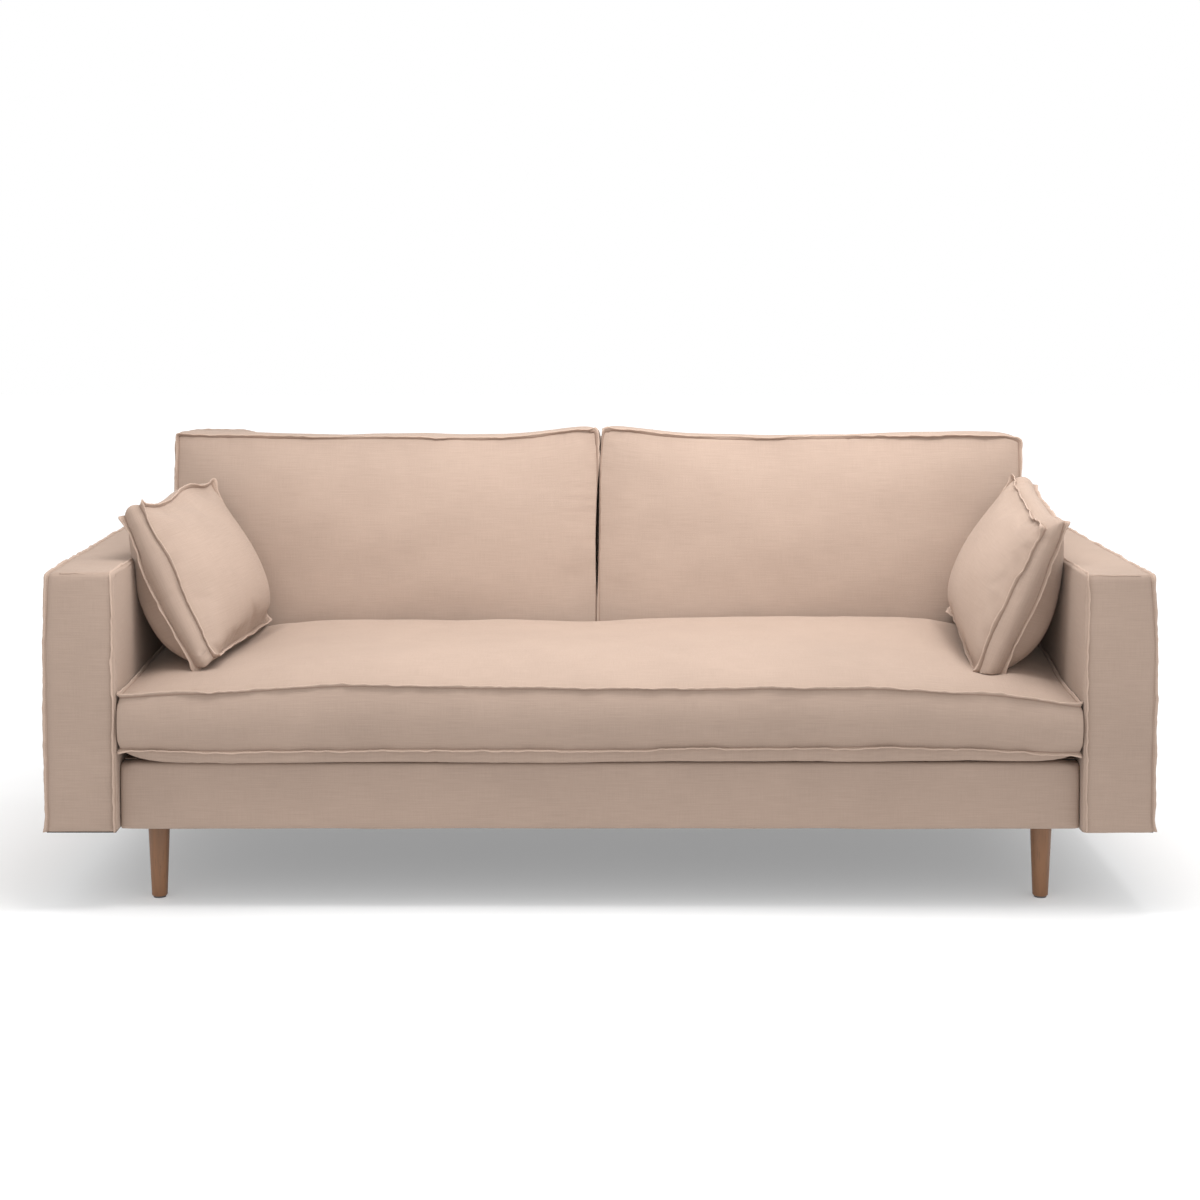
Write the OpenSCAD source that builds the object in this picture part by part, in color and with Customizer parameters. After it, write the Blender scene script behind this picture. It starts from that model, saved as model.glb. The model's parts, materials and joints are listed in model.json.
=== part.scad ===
// Three-seat sofa with one bench seat cushion, two back cushions, two leaning
// throw cushions and four turned wooden legs.
// Millimetres, +Z up. The front faces -Y and left means -X, as seen from the
// front. The origin is on the floor, under the centre of the sofa's box.

/* [Overall] */
// Width over both arms
sofa_w = 2150; // [1900:10:2400]
// Depth from the arm fronts to the rear face
sofa_d = 930; // [920:2:960]
// Height of the frame's underside, which is the visible length of the legs
leg_h = 160; // [120:5:200]
// Height of the seat platform above the frame's underside
base_h = 132; // [120:2:150]
// Height of the top of the arms
arm_top = 660; // [620:5:700]
// Height of the top of the upholstered back
back_top = 856; // [820:2:900]

/* [Arms and back] */
// Width of each arm
arm_w = 140; // [125:1:160]
// How far the back is let into each arm
back_step = 35; // [25:1:45]
// Distance from the rear face to the front of the back, at platform height
back_thick = 207; // [190:1:215]
// Rearward lean of the back, in degrees
rake = 5.3; // [3:0.1:6]
// How far the front border stands back from the arm fronts
border_setback = 25; // [15:1:35]

/* [Cushions] */
// Depth of the seat cushion
seat_depth = 565; // [540:1:568]
// Thickness of the seat cushion at its edge
seat_edge_h = 138; // [120:1:150]
// Extra thickness of the seat cushion at its crown
seat_crown = 44; // [40:1:60]
// How much thicker the seat cushion's rear edge is than its front edge
seat_rear_rise = 34; // [0:1:38]
// Height of the back cushions along the back
back_cushion_h = 578; // [540:1:600]
// Length of a throw cushion
throw_length = 440; // [400:5:450]
// Height of a throw cushion
throw_height = 335; // [320:1:340]
// Thickness of a throw cushion at its edge
throw_edge_t = 60; // [50:1:64]
// How far a throw cushion's face bulges at its middle
throw_crown = 50; // [15:1:54]
// The same for the side that leans on the arm
throw_back_crown = 46; // [15:1:46]

/* [Legs] */
// Radius of a leg at its top
leg_r_top = 22; // [18:0.5:26]
// Radius of a leg at its foot
leg_r_foot = 15.5; // [14:0.5:17]
// Distance of the legs' axes from the middle of the sofa, sideways
leg_x = 878; // [868:1:880]

/* [Hidden] */
$fn = 48;
front = -sofa_d / 2;
rear = sofa_d / 2;
arm_in = sofa_w / 2 - arm_w; // inner face of each arm
back_half = arm_in + back_step; // half the width of the back
deck_z = leg_h + base_h; // top of the seat platform
lean = tan(rake); // rearward run per unit of height

cover_t = 2; // upholstery cloth
pad_t = 12; // foam and wadding over the arms
panel_t = 4; // hardboard panels
board_t = 22; // plywood and timber boards
arm_skin = cover_t + pad_t; // cloth and padding
arm_core = arm_skin + panel_t; // cloth, padding and panel
strap_t = 2; // elastic webbing
strap_w = 60;
frame_z = leg_h + 2; // underside of the timber, above the dust cloth
rail_top = deck_z - 8; // top of the front and rear rails
rail_t = 28; // thickness of the front and rear rails
side_rail_t = 25;
side_rail_x = arm_in - side_rail_t;
border_y = front + border_setback; // front face of the front border
border_pad = 8; // foam on the front rail
front_rail_y = border_y + cover_t + border_pad;
rear_rail_y = 220.5;
deck_cloth_z = deck_z - 2.5; // underside of the platform's cloth
mid_post_y = 170; // the arm's middle post

back_pad = 25; // foam on the front of the back
back_foot_y = rear_rail_y + rail_t; // where the back frame meets the rear rail
back_timber = cover_t + back_pad + strap_t; // how far the timber is behind the cloth
back_edge = cover_t + 10; // cloth and wadding on the back's top and ends
rear_panel_y = rear - cover_t - 3;
inner_rib_x = 300;

bolt_r = 4; // M8 thread
bolt_z = leg_h + 85; // bolts that hold the arms
bolt_ys = [-340, -100, 140];
bolt_head = [6.5, 8]; // radius and height
nut_flange = [11, 1.5]; // radius and thickness of a tee nut's flange
nut_barrel_r = bolt_r + 1.5;
arm_nut_l = 12;
leg_nut_l = 14;
leg_bolt_in = 40; // how far a leg's bolt reaches into the leg
leg_front_y = front + 115;
leg_rear_y = rear - 115;
glide_h = 3;
block = [80, 90, 50]; // corner block that a leg screws into

filling_inset = 6; // cloth, wadding and the back of the zip
zip_slot_h = 7;
zip_tape = [24, 1.2]; // width and thickness
zip_coil = [5, 3]; // width and height of the closed coil
slider = [13, 10, 4]; // length, width and height of a zip slider
slider_gap = 0.4; // clearance round the coil
pull = [22, 7, 1.4]; // its pull tab

seat_y0 = front; // front of the seat cushion
seat_y1 = front + seat_depth;
seat_z = deck_z + 0.5; // underside of the seat cushion
seat_half = arm_in - 5;
cushion_z = deck_z + 6; // underside of the back cushions
cushion_y = seat_y1 + 8; // front of the back cushions, at cushion_z
back_cushion_t = back_y(cushion_z) - 3 - cushion_y;
back_cushion_crown = 18;
seat_zip_l = 1500;
back_zip_l = 700;
throw_zip_l = 340;
throw_sag = 0.35; // how low a throw's fullest part is, as a part of half its height
throw_left = [-832, -125, 618];
throw_left_turn = [-1, -24.6, -5.8];
throw_right = [850, -125, 625];
throw_right_turn = [4.9, 24, 2];

cloth = "rosybrown";
foam = "lemonchiffon";
timber = "burlywood";
steel = "silver";

// ---------- shared shapes ----------

// Front of the back at height z
function back_y(z) = rear - back_thick + (z - deck_z) * lean;

// Points of a crowned edge from (-half, edge) to (half, edge). A sag moves the
// fullest point toward -half, by about that part of half.
function crown(half, edge, rise, steps = 10, power = 2.2, sag = 0) = [
    for (i = [0 : steps])
        let (s = 2 * i / steps - 1)
            [s * half, edge + rise * (1 - pow(abs(s + sag * (1 - s * s)), power))]
];

// Extrudes a (y, z) outline from x0 to x1
module along_x(x0, x1) {
    translate([x0, 0, 0]) rotate([90, 0, 90]) linear_extrude(x1 - x0) children();
}

// Extrudes an (x, z) outline from y0 to y1
module along_y(y0, y1) {
    translate([0, y1, 0]) rotate([90, 0, 0]) linear_extrude(y1 - y0) children();
}

// A cube between two opposite corners
module block_between(low, high) {
    translate(low) cube(high - low);
}

module both_sides() {
    children();
    mirror([1, 0, 0]) children();
}

module at_bolts() {
    for (y = bolt_ys) translate([0, y, bolt_z]) rotate([0, 90, 0]) children();
}

module at_legs() {
    both_sides() for (y = [leg_front_y, leg_rear_y]) translate([leg_x, y, 0]) children();
}

// Holes through the arm's inner wall, on the right-hand side
module bolt_holes() {
    at_bolts() cylinder(h = arm_in + arm_core + rail_t, r = bolt_r + 0.5);
}

// ---------- seat base ----------

module front_rail() {
    color(timber)
        block_between([-side_rail_x, front_rail_y, frame_z],
                      [side_rail_x, front_rail_y + rail_t, rail_top]);
}

module rear_rail() {
    color(timber)
        block_between([-side_rail_x, rear_rail_y, frame_z],
                      [side_rail_x, back_foot_y, rail_top]);
}

module side_rails() {
    color(timber) both_sides() difference() {
        block_between([side_rail_x, front_rail_y, frame_z],
                      [arm_in, back_foot_y, rail_top - strap_t]);
        bolt_holes();
    }
}

module cross_rails() {
    color(timber) for (x = [-450, 0, 450])
        translate([x - side_rail_t / 2, 0, 0])
            block_between([0, front_rail_y + rail_t, frame_z],
                          [side_rail_t, rear_rail_y, frame_z + 80]);
}

// The rear blocks stand behind the rear rail, and reach the arms.
module corner_blocks() {
    color(timber) difference() {
        both_sides() {
            block_between([side_rail_x - block.x, front_rail_y + rail_t, frame_z],
                          [side_rail_x, front_rail_y + rail_t + block.y, frame_z + block.z]);
            block_between([side_rail_x - block.x, leg_rear_y - block.y / 2, frame_z],
                          [arm_in + 1, leg_rear_y + block.y / 2, frame_z + block.z]);
        }
        at_legs() {
            cylinder(h = deck_z, r = nut_barrel_r);
            translate([0, 0, frame_z + block.z - nut_flange[1]])
                cylinder(h = 2, r = nut_flange[0]);
        }
    }
}

module seat_webbing_long() {
    color("gray") for (i = [-4 : 4])
        translate([i * 195 - strap_w / 2, 0, 0])
            block_between([0, front_rail_y, rail_top],
                          [strap_w, back_foot_y, rail_top + strap_t]);
}

module seat_webbing_cross() {
    color("gray") for (y = [-290, -130, 30, 150])
        block_between([-arm_in + 1, y - strap_w / 2, rail_top - strap_t],
                      [arm_in - 1, y + strap_w / 2, rail_top]);
}

module deck_felt() {
    color("dimgray")
        block_between([-arm_in + 2, front_rail_y + rail_t, rail_top + strap_t],
                      [arm_in - 2, back_y(deck_z) - 4, deck_cloth_z]);
}

module deck_cloth() {
    color("tan")
        block_between([-arm_in + 2, front_rail_y + rail_t, deck_cloth_z],
                      [arm_in - 2, back_y(deck_z) - 4, deck_z - 0.5]);
}

module front_border_padding() {
    y0 = border_y + cover_t;
    y1 = front_rail_y;
    y2 = front_rail_y + rail_t;
    z1 = rail_top + strap_t;
    z2 = deck_z - cover_t;
    color(foam) along_x(-arm_in + 4, arm_in - 4)
        polygon([[y0, frame_z], [y1, frame_z], [y1, z1], [y2, z1], [y2, z2], [y0, z2]]);
}

module front_border_cover() {
    color(cloth) difference() {
        block_between([-arm_in + 2, border_y, leg_h],
                      [arm_in - 2, front_rail_y + rail_t, deck_z]);
        block_between([-arm_in + 4, border_y + cover_t, leg_h - 1],
                      [arm_in - 4, front_rail_y + rail_t + 1, deck_z - cover_t]);
        // the side rails' ends fill the lower corners
        both_sides() block_between([side_rail_x, front_rail_y, leg_h - 1],
                                   [arm_in + 1, rear, deck_z - cover_t]);
    }
}

// Black cloths that close the underside of the base and of each arm
module dust_cloths() {
    color("black") difference() {
        union() {
            block_between([-arm_in + 5, front_rail_y, leg_h],
                          [arm_in - 5, back_y(leg_h) + 3, leg_h + 1.5]);
            block_between([-back_half + 3, back_y(leg_h) + 3, leg_h],
                          [back_half - 3, rear - 4, leg_h + 1.5]);
            both_sides() intersection() {
                arm_shape(cover_t + 1);
                block_between([0, front, leg_h], [sofa_w, rear, leg_h + 1.5]);
            }
        }
        at_legs() cylinder(h = deck_z, r = leg_r_top + 1);
    }
}

// ---------- arms, drawn for the right-hand side ----------

// The raked space that the back takes up, with g more in front of it
module back_outline(g) {
    z0 = leg_h - 50;
    z1 = back_top + 50;
    polygon([[back_y(z0) - g, z0], [rear + 50, z0], [rear + 50, z1], [back_y(z1) - g, z1]]);
}

// The arm's outer shape, made smaller by inset on every face but the bottom
module arm_shape(inset, z0 = leg_h) {
    difference() {
        block_between([arm_in + inset, front + inset, z0],
                      [sofa_w / 2 - inset, rear - inset, arm_top - inset]);
        along_x(arm_in - 1, back_half + inset + 1) back_outline(inset + 1);
    }
}

module arm_layer(outside, inside) {
    difference() {
        arm_shape(outside);
        arm_shape(inside, leg_h - 1);
        bolt_holes();
    }
}

module arm_cover() {
    color(cloth) arm_layer(0, cover_t);
}

module arm_padding() {
    color(foam) intersection() {
        arm_layer(cover_t, arm_skin);
        block_between([0, front, frame_z], [sofa_w, rear, arm_top]);
    }
}

// Hardboard on the inner and outer faces, under the padding
module arm_panels() {
    color("peru") difference() {
        arm_shape(arm_skin, frame_z);
        arm_shape(arm_core, leg_h);
        block_between([arm_in, front, arm_top - arm_core], [sofa_w, rear, arm_top]);
        block_between([arm_in + arm_core, front, leg_h],
                      [sofa_w / 2 - arm_core, rear, arm_top]);
        along_x(arm_in, back_half + arm_skin + panel_t) back_outline(arm_core + 1);
        bolt_holes();
    }
}

// Top board and base board
module arm_boards() {
    color(timber) for (z = [frame_z, arm_top - arm_core - board_t]) intersection() {
        arm_shape(arm_core, frame_z);
        block_between([0, front, z], [sofa_w, rear, z + board_t]);
    }
}

module arm_posts() {
    color(timber) intersection() {
        arm_shape(arm_core, frame_z);
        for (y = [front + arm_core, mid_post_y, rear - arm_core - board_t])
            block_between([0, y, frame_z + board_t],
                          [sofa_w, y + board_t, arm_top - arm_core - board_t]);
    }
}

module arm_mounting_rail() {
    color(timber) difference() {
        block_between([arm_in + arm_core, front + arm_core + board_t, bolt_z - 35],
                      [arm_in + arm_core + rail_t, mid_post_y, bolt_z + 35]);
        at_bolts() {
            cylinder(h = sofa_w, r = nut_barrel_r);
            translate([0, 0, arm_in + arm_core + rail_t - nut_flange[1]])
                cylinder(h = 2, r = nut_flange[0]);
        }
    }
}

// ---------- back ----------

// The timber outline of the back. step_y is where it meets the platform's height.
module rib_outline(step_y) {
    z1 = back_top - back_edge - board_t;
    polygon([[back_foot_y, frame_z], [rear_panel_y, frame_z], [rear_panel_y, z1],
             [back_y(z1) + back_timber, z1], [back_y(rail_top) + back_timber, rail_top],
             [step_y, rail_top]]);
}

module back_ribs() {
    color(timber) difference() {
        for (x = [-inner_rib_x - board_t, inner_rib_x])
            along_x(x, x + board_t) rib_outline(back_foot_y);
        for (x = [-back_half + back_edge, back_half - back_edge - board_t])
            along_x(x, x + board_t) rib_outline(back_y(rail_top) + 2.5);
        back_rails();
        block_between([-arm_in - 1, leg_rear_y - block.y / 2, frame_z],
                      [arm_in + 1, leg_rear_y + block.y / 2, frame_z + block.z]);
    }
}

// Top rail and bottom rail
module back_rails() {
    x1 = back_half - back_edge;
    z1 = back_top - back_edge;
    color(timber) {
        block_between([-x1, back_y(back_top) + back_timber, z1 - board_t],
                      [x1, rear_panel_y, z1]);
        block_between([-x1 + board_t, rear_panel_y - board_t, frame_z],
                      [x1 - board_t, rear_panel_y, frame_z + 90]);
    }
}

module back_webbing() {
    y0 = cover_t + back_pad;
    color("gray") for (z = [340 : 95 : 720])
        along_x(-back_half + back_edge, back_half - back_edge)
            polygon([[back_y(z) + y0, z], [back_y(z) + y0 + strap_t, z],
                     [back_y(z + strap_w) + y0 + strap_t, z + strap_w],
                     [back_y(z + strap_w) + y0, z + strap_w]]);
}

module back_rear_panel() {
    color("peru")
        block_between([-back_half + back_edge, rear_panel_y, frame_z],
                      [back_half - back_edge, rear - cover_t, back_top - back_edge]);
}

// The back's outer shape above z0, made smaller by inset
module back_shape(inset, z0) {
    y0 = back_y(z0) + inset;
    y1 = back_y(back_top - inset) + inset;
    along_x(-back_half + inset, back_half - inset)
        polygon([[y0, z0], [rear - inset, z0], [rear - inset, back_top - inset],
                 [y1, back_top - inset]]);
}

module back_padding() {
    y0 = cover_t + back_pad;
    z0 = rail_top - 1;
    z1 = back_top - back_edge;
    color(foam) difference() {
        back_shape(cover_t, rail_top);
        along_x(-back_half + back_edge, back_half - back_edge)
            polygon([[back_y(z0) + y0, z0], [rear, z0], [rear, z1], [back_y(z1) + y0, z1]]);
    }
}

// Cloth over the front, top, ends and rear. It ends at the platform in front.
module back_cover() {
    color(cloth) difference() {
        back_shape(0, leg_h);
        back_shape(cover_t, leg_h - 1);
        block_between([-sofa_w, 0, leg_h - 1], [sofa_w, back_y(rail_top) + 1, rail_top]);
        // open at the ends, below the platform, where the rails and blocks pass
        block_between([-sofa_w, 0, leg_h - 1], [sofa_w, leg_rear_y + 50, rail_top]);
    }
}

// ---------- fasteners ----------

module arm_bolts() {
    color(steel) both_sides() at_bolts() {
        translate([0, 0, side_rail_x - 2 - bolt_head[1]])
            cylinder(h = bolt_head[1], r = bolt_head[0]);
        translate([0, 0, side_rail_x - 2]) cylinder(h = 72, r = bolt_r);
    }
}

module arm_bolt_washers() {
    color(steel) both_sides() at_bolts() translate([0, 0, side_rail_x - 2])
        difference() {
            cylinder(h = 2, r = 10);
            translate([0, 0, -1]) cylinder(h = 4, r = bolt_r);
        }
}

// A barrel that ends in a flange, on a bolt of the M8 size
module tee_nut(length) {
    difference() {
        union() {
            cylinder(h = length, r = nut_barrel_r);
            translate([0, 0, length - nut_flange[1]])
                cylinder(h = nut_flange[1], r = nut_flange[0]);
        }
        translate([0, 0, -1]) cylinder(h = length + 2, r = bolt_r);
    }
}

module arm_bolt_nuts() {
    color(steel) both_sides() at_bolts()
        translate([0, 0, arm_in + arm_core + rail_t - arm_nut_l]) tee_nut(arm_nut_l);
}

module leg_bolts() {
    color(steel) at_legs() translate([0, 0, leg_h - leg_bolt_in])
        cylinder(h = leg_bolt_in + block.z - 2, r = bolt_r);
}

module leg_nuts() {
    color(steel) at_legs() translate([0, 0, frame_z + block.z - leg_nut_l])
        tee_nut(leg_nut_l);
}

// ---------- legs ----------

// Half outline of a turned leg, with its edges rounded
module leg_outline() {
    z1 = frame_z;
    edge = 3;
    polygon([[0, glide_h], [leg_r_foot - edge, glide_h],
             for (a = [-60 : 30 : 0])
                 [leg_r_foot - edge + edge * cos(a), glide_h + edge + edge * sin(a)],
             [leg_r_top, z1 - 1], [leg_r_top - 1, z1], [0, z1]]);
}

module leg(x, y) {
    color("sienna") translate([x, y, 0]) difference() {
        rotate_extrude($fn = 72) leg_outline();
        translate([0, 0, leg_h - leg_bolt_in]) cylinder(h = leg_h, r = bolt_r);
    }
}

module leg_glides() {
    color("dimgray") at_legs() cylinder(h = glide_h, r = leg_r_foot - 3);
}

// ---------- zips ----------

// A closed zip along X from 0 to length. Its face is at z = 0 and its tape
// lies behind the cloth, below that.
module zip(length) {
    color("darkgray") {
        translate([0, -zip_tape[0] / 2, -cover_t - zip_tape[1]])
            cube([length, zip_tape[0], zip_tape[1]]);
        translate([0, -zip_coil.x / 2, -cover_t - 1])
            cube([length, zip_coil.x, zip_coil.y]);
    }
}

// The slot that the zip closes, cut through the cloth
module zip_slot(length) {
    translate([0, -zip_slot_h / 2, -cover_t - 0.1])
        cube([length, zip_slot_h, 2 * cover_t]);
}

// The slider at the far end of a zip, with its pull tab lying along the coil
module zip_slider(length) {
    color(steel) translate([length - slider.x - 4, 0, 0]) difference() {
        union() {
            translate([0, -slider.y / 2, slider_gap]) cube(slider);
            translate([-pull.x + 4, -pull.y / 2, slider.z - pull.z + slider_gap]) cube(pull);
        }
        translate([-1, -zip_coil.x / 2 - slider_gap, -1])
            cube([slider.x + 2, zip_coil.x + 2 * slider_gap, 1.7]);
    }
}

// ---------- seat cushion ----------

// Points of the seat's top from the front edge to the rear edge, half its depth away
function seat_profile(half, edge, steps = 12, power = 2.2) = [
    for (i = [0 : steps])
        let (s = 2 * i / steps - 1, slope = seat_rear_rise * (s + 1) / 2)
            [s * half, edge + slope + (seat_crown - slope) * (1 - pow(abs(s), power))]
];

// The seat cushion, crowned both ways, made smaller by inset on every face
module seat_shape(inset) {
    mid_y = (seat_y0 + seat_y1) / 2;
    edge_z = seat_z + seat_edge_h - inset;
    intersection() {
        along_x(-seat_half + inset, seat_half - inset) translate([mid_y, 0])
            polygon([[seat_depth / 2 - inset, seat_z + inset],
                     [-seat_depth / 2 + inset, seat_z + inset],
                     each seat_profile(seat_depth / 2 - inset, edge_z)]);
        along_y(seat_y0, seat_y1)
            polygon([[seat_half - inset, seat_z + inset],
                     [-seat_half + inset, seat_z + inset],
                     each crown(seat_half - inset, edge_z, seat_crown, 16)]);
    }
}

// Where the seat cushion's zip starts, on its rear face
module at_seat_zip() {
    translate([-seat_zip_l / 2, seat_y1, seat_z + seat_edge_h / 2])
        rotate([-90, 0, 0]) children();
}

module seat_cushion_cover() {
    color(cloth) difference() {
        seat_shape(0);
        seat_shape(cover_t);
        at_seat_zip() zip_slot(seat_zip_l);
    }
}

module seat_cushion_core() {
    color(foam) seat_shape(filling_inset);
}

module seat_cushion_zip() {
    at_seat_zip() zip(seat_zip_l);
}

module seat_zip_slider() {
    at_seat_zip() zip_slider(seat_zip_l);
}

// ---------- back cushions, drawn for the right-hand side ----------

// A raked cushion with a crowned front, made smaller by inset on every face
module back_cushion_shape(inset) {
    z0 = cushion_z + inset;
    h = back_cushion_h - 2 * inset;
    steps = 8;
    along_x(2 + inset, seat_half - inset)
        polygon([for (i = [0 : steps])
                     let (s = i / steps, z = z0 + s * h)
                         [cushion_y + inset + (z - cushion_z) * lean
                          - back_cushion_crown * (1 - pow(2 * s - 1, 2)), z],
                 [cushion_y + back_cushion_t - inset + (z0 + h - cushion_z) * lean, z0 + h],
                 [cushion_y + back_cushion_t - inset + (z0 - cushion_z) * lean, z0]]);
}

module at_back_zip() {
    translate([(seat_half + 2 - back_zip_l) / 2, cushion_y + back_cushion_t / 2, cushion_z])
        rotate([180, 0, 0]) children();
}

module back_cushion_cover() {
    color(cloth) difference() {
        back_cushion_shape(0);
        back_cushion_shape(cover_t);
        at_back_zip() zip_slot(back_zip_l);
    }
}

module back_cushion_filling() {
    color("white") back_cushion_shape(filling_inset);
}

module back_cushion_zip() {
    at_back_zip() zip(back_zip_l);
}

module back_zip_slider() {
    at_back_zip() zip_slider(back_zip_l);
}

// ---------- throw cushions ----------

// The outline of a throw cushion, with its face toward -X
module throw_outline(half, half_t, sag) {
    polygon([for (p = crown(half, half_t, throw_back_crown, sag = sag)) [p.y, p.x],
             for (p = crown(half, half_t, throw_crown, sag = -sag)) [-p.y, -p.x]]);
}

// A throw cushion about its own centre, crowned both ways: length along Y, height along Z
module throw_shape(inset) {
    half_l = throw_length / 2 - inset;
    half_h = throw_height / 2 - inset;
    half_t = throw_edge_t / 2 - inset;
    intersection() {
        along_y(-half_l, half_l) throw_outline(half_h, half_t, throw_sag);
        translate([0, 0, -half_h]) linear_extrude(2 * half_h) throw_outline(half_l, half_t, 0);
    }
}

// The zip runs along the lower side, and closes near its front end.
module at_throw_zip() {
    translate([0, throw_zip_l / 2 - 30, -throw_height / 2])
        rotate([180, 0, -90]) children();
}

module throw_cover() {
    color(cloth) difference() {
        throw_shape(0);
        throw_shape(cover_t);
        at_throw_zip() zip_slot(throw_zip_l);
    }
}

module throw_filling() {
    color("white") throw_shape(filling_inset);
}

module throw_zip() {
    at_throw_zip() zip(throw_zip_l);
}

module throw_zip_slider() {
    at_throw_zip() zip_slider(throw_zip_l);
}

module at_throw_left() {
    translate(throw_left) rotate(throw_left_turn) mirror([1, 0, 0]) children();
}

module at_throw_right() {
    translate(throw_right) rotate(throw_right_turn) children();
}

// ---------- nodes ----------

front_rail();
rear_rail();
side_rails();
cross_rails();
corner_blocks();
seat_webbing_long();
seat_webbing_cross();
deck_felt();
deck_cloth();
front_border_padding();
front_border_cover();
dust_cloths();
mirror([1, 0, 0]) arm_posts();  // left_arm_posts
mirror([1, 0, 0]) arm_boards();  // left_arm_boards
mirror([1, 0, 0]) arm_mounting_rail();  // left_arm_mounting_rail
mirror([1, 0, 0]) arm_panels();  // left_arm_panels
mirror([1, 0, 0]) arm_padding();  // left_arm_padding
mirror([1, 0, 0]) arm_cover();  // left_arm_cover
arm_posts();  // right_arm_posts
arm_boards();  // right_arm_boards
arm_mounting_rail();  // right_arm_mounting_rail
arm_panels();  // right_arm_panels
arm_padding();  // right_arm_padding
arm_cover();  // right_arm_cover
back_ribs();
back_rails();
back_webbing();
back_rear_panel();
back_padding();
back_cover();
arm_bolts();
arm_bolt_washers();
arm_bolt_nuts();
leg(-leg_x, leg_front_y);  // leg_front_left
leg(leg_x, leg_front_y);  // leg_front_right
leg(-leg_x, leg_rear_y);  // leg_rear_left
leg(leg_x, leg_rear_y);  // leg_rear_right
leg_bolts();
leg_nuts();
leg_glides();
seat_cushion_cover();
seat_cushion_core();
seat_cushion_zip();
seat_zip_slider();
mirror([1, 0, 0]) back_cushion_cover();  // back_cushion_left_cover
mirror([1, 0, 0]) back_cushion_filling();  // back_cushion_left_filling
mirror([1, 0, 0]) back_cushion_zip();  // back_cushion_left_zip
mirror([1, 0, 0]) back_zip_slider();  // back_zip_slider_left
back_cushion_cover();  // back_cushion_right_cover
back_cushion_filling();  // back_cushion_right_filling
back_cushion_zip();  // back_cushion_right_zip
back_zip_slider();  // back_zip_slider_right
at_throw_left() throw_cover();  // throw_left_cover
at_throw_left() throw_filling();  // throw_left_filling
at_throw_left() throw_zip();  // throw_left_zip
at_throw_left() throw_zip_slider();  // throw_zip_slider_left
at_throw_right() throw_cover();  // throw_right_cover
at_throw_right() throw_filling();  // throw_right_filling
at_throw_right() throw_zip();  // throw_right_zip
at_throw_right() throw_zip_slider();  // throw_zip_slider_right
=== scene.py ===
"""The looks of the three-seat sofa: upholstery, cushions, seams, zips and materials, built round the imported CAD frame.

Metres, +Z up, the sofa's front faces -Y. Left means -X.
"""
import json
import math

import bmesh
import bpy
import numpy as np
from mathutils import Matrix, Vector, noise
from mathutils.bvhtree import BVHTree


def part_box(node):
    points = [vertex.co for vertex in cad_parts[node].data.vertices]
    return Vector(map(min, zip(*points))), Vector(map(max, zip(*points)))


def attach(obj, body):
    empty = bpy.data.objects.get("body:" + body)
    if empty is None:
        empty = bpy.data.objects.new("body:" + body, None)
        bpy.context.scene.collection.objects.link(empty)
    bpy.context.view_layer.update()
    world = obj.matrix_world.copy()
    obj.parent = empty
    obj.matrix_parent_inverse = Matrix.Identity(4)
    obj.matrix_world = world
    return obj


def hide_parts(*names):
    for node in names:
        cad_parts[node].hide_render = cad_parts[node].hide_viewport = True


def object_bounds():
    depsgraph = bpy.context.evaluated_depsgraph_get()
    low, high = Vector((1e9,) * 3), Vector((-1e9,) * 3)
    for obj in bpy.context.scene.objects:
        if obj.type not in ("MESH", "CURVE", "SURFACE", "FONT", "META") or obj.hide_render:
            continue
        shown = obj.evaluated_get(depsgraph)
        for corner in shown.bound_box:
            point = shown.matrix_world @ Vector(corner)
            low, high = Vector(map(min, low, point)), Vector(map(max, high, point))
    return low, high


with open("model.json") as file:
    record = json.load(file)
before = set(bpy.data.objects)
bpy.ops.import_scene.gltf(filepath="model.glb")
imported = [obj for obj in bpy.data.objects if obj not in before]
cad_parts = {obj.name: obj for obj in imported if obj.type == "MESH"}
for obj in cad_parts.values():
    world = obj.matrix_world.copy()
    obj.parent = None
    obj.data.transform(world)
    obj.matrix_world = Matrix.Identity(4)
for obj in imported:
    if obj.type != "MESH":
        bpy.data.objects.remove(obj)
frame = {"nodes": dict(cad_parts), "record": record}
cad_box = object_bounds()
scene = bpy.context.scene

SUBDIVIDE = 1
SIDES = {-1: "left", 1: "right"}


# ---------------------------------------------------------------- camera, light and floor

def add_camera():
    """A long lens, 4 m in front of the sofa and tipped down a little. The shift frames it low, as the photo does."""
    data = bpy.data.cameras.new("camera")
    data.sensor_width = 36.0
    data.lens = 62.8
    data.shift_y = -0.20
    camera = bpy.data.objects.new("camera", data)
    camera.location = (0.0, cad_box[0][1] - 4.0, 1.287)
    camera.rotation_euler = (math.radians(90 - 3.0), 0, 0)
    scene.collection.objects.link(camera)
    scene.camera = camera


def add_light(name, size, watts, place, target, spread=180):
    """An area light. spread is its cone's angle in degrees."""
    data = bpy.data.lights.new(name, "AREA")
    data.shape = "RECTANGLE"
    data.size, data.size_y = size
    data.energy = watts
    data.spread = math.radians(spread)
    light = bpy.data.objects.new(name, data)
    light.location = place
    light.rotation_euler = (Vector(target) - Vector(place)).to_track_quat("-Z", "Y").to_euler()
    light.visible_camera = False
    scene.collection.objects.link(light)


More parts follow.
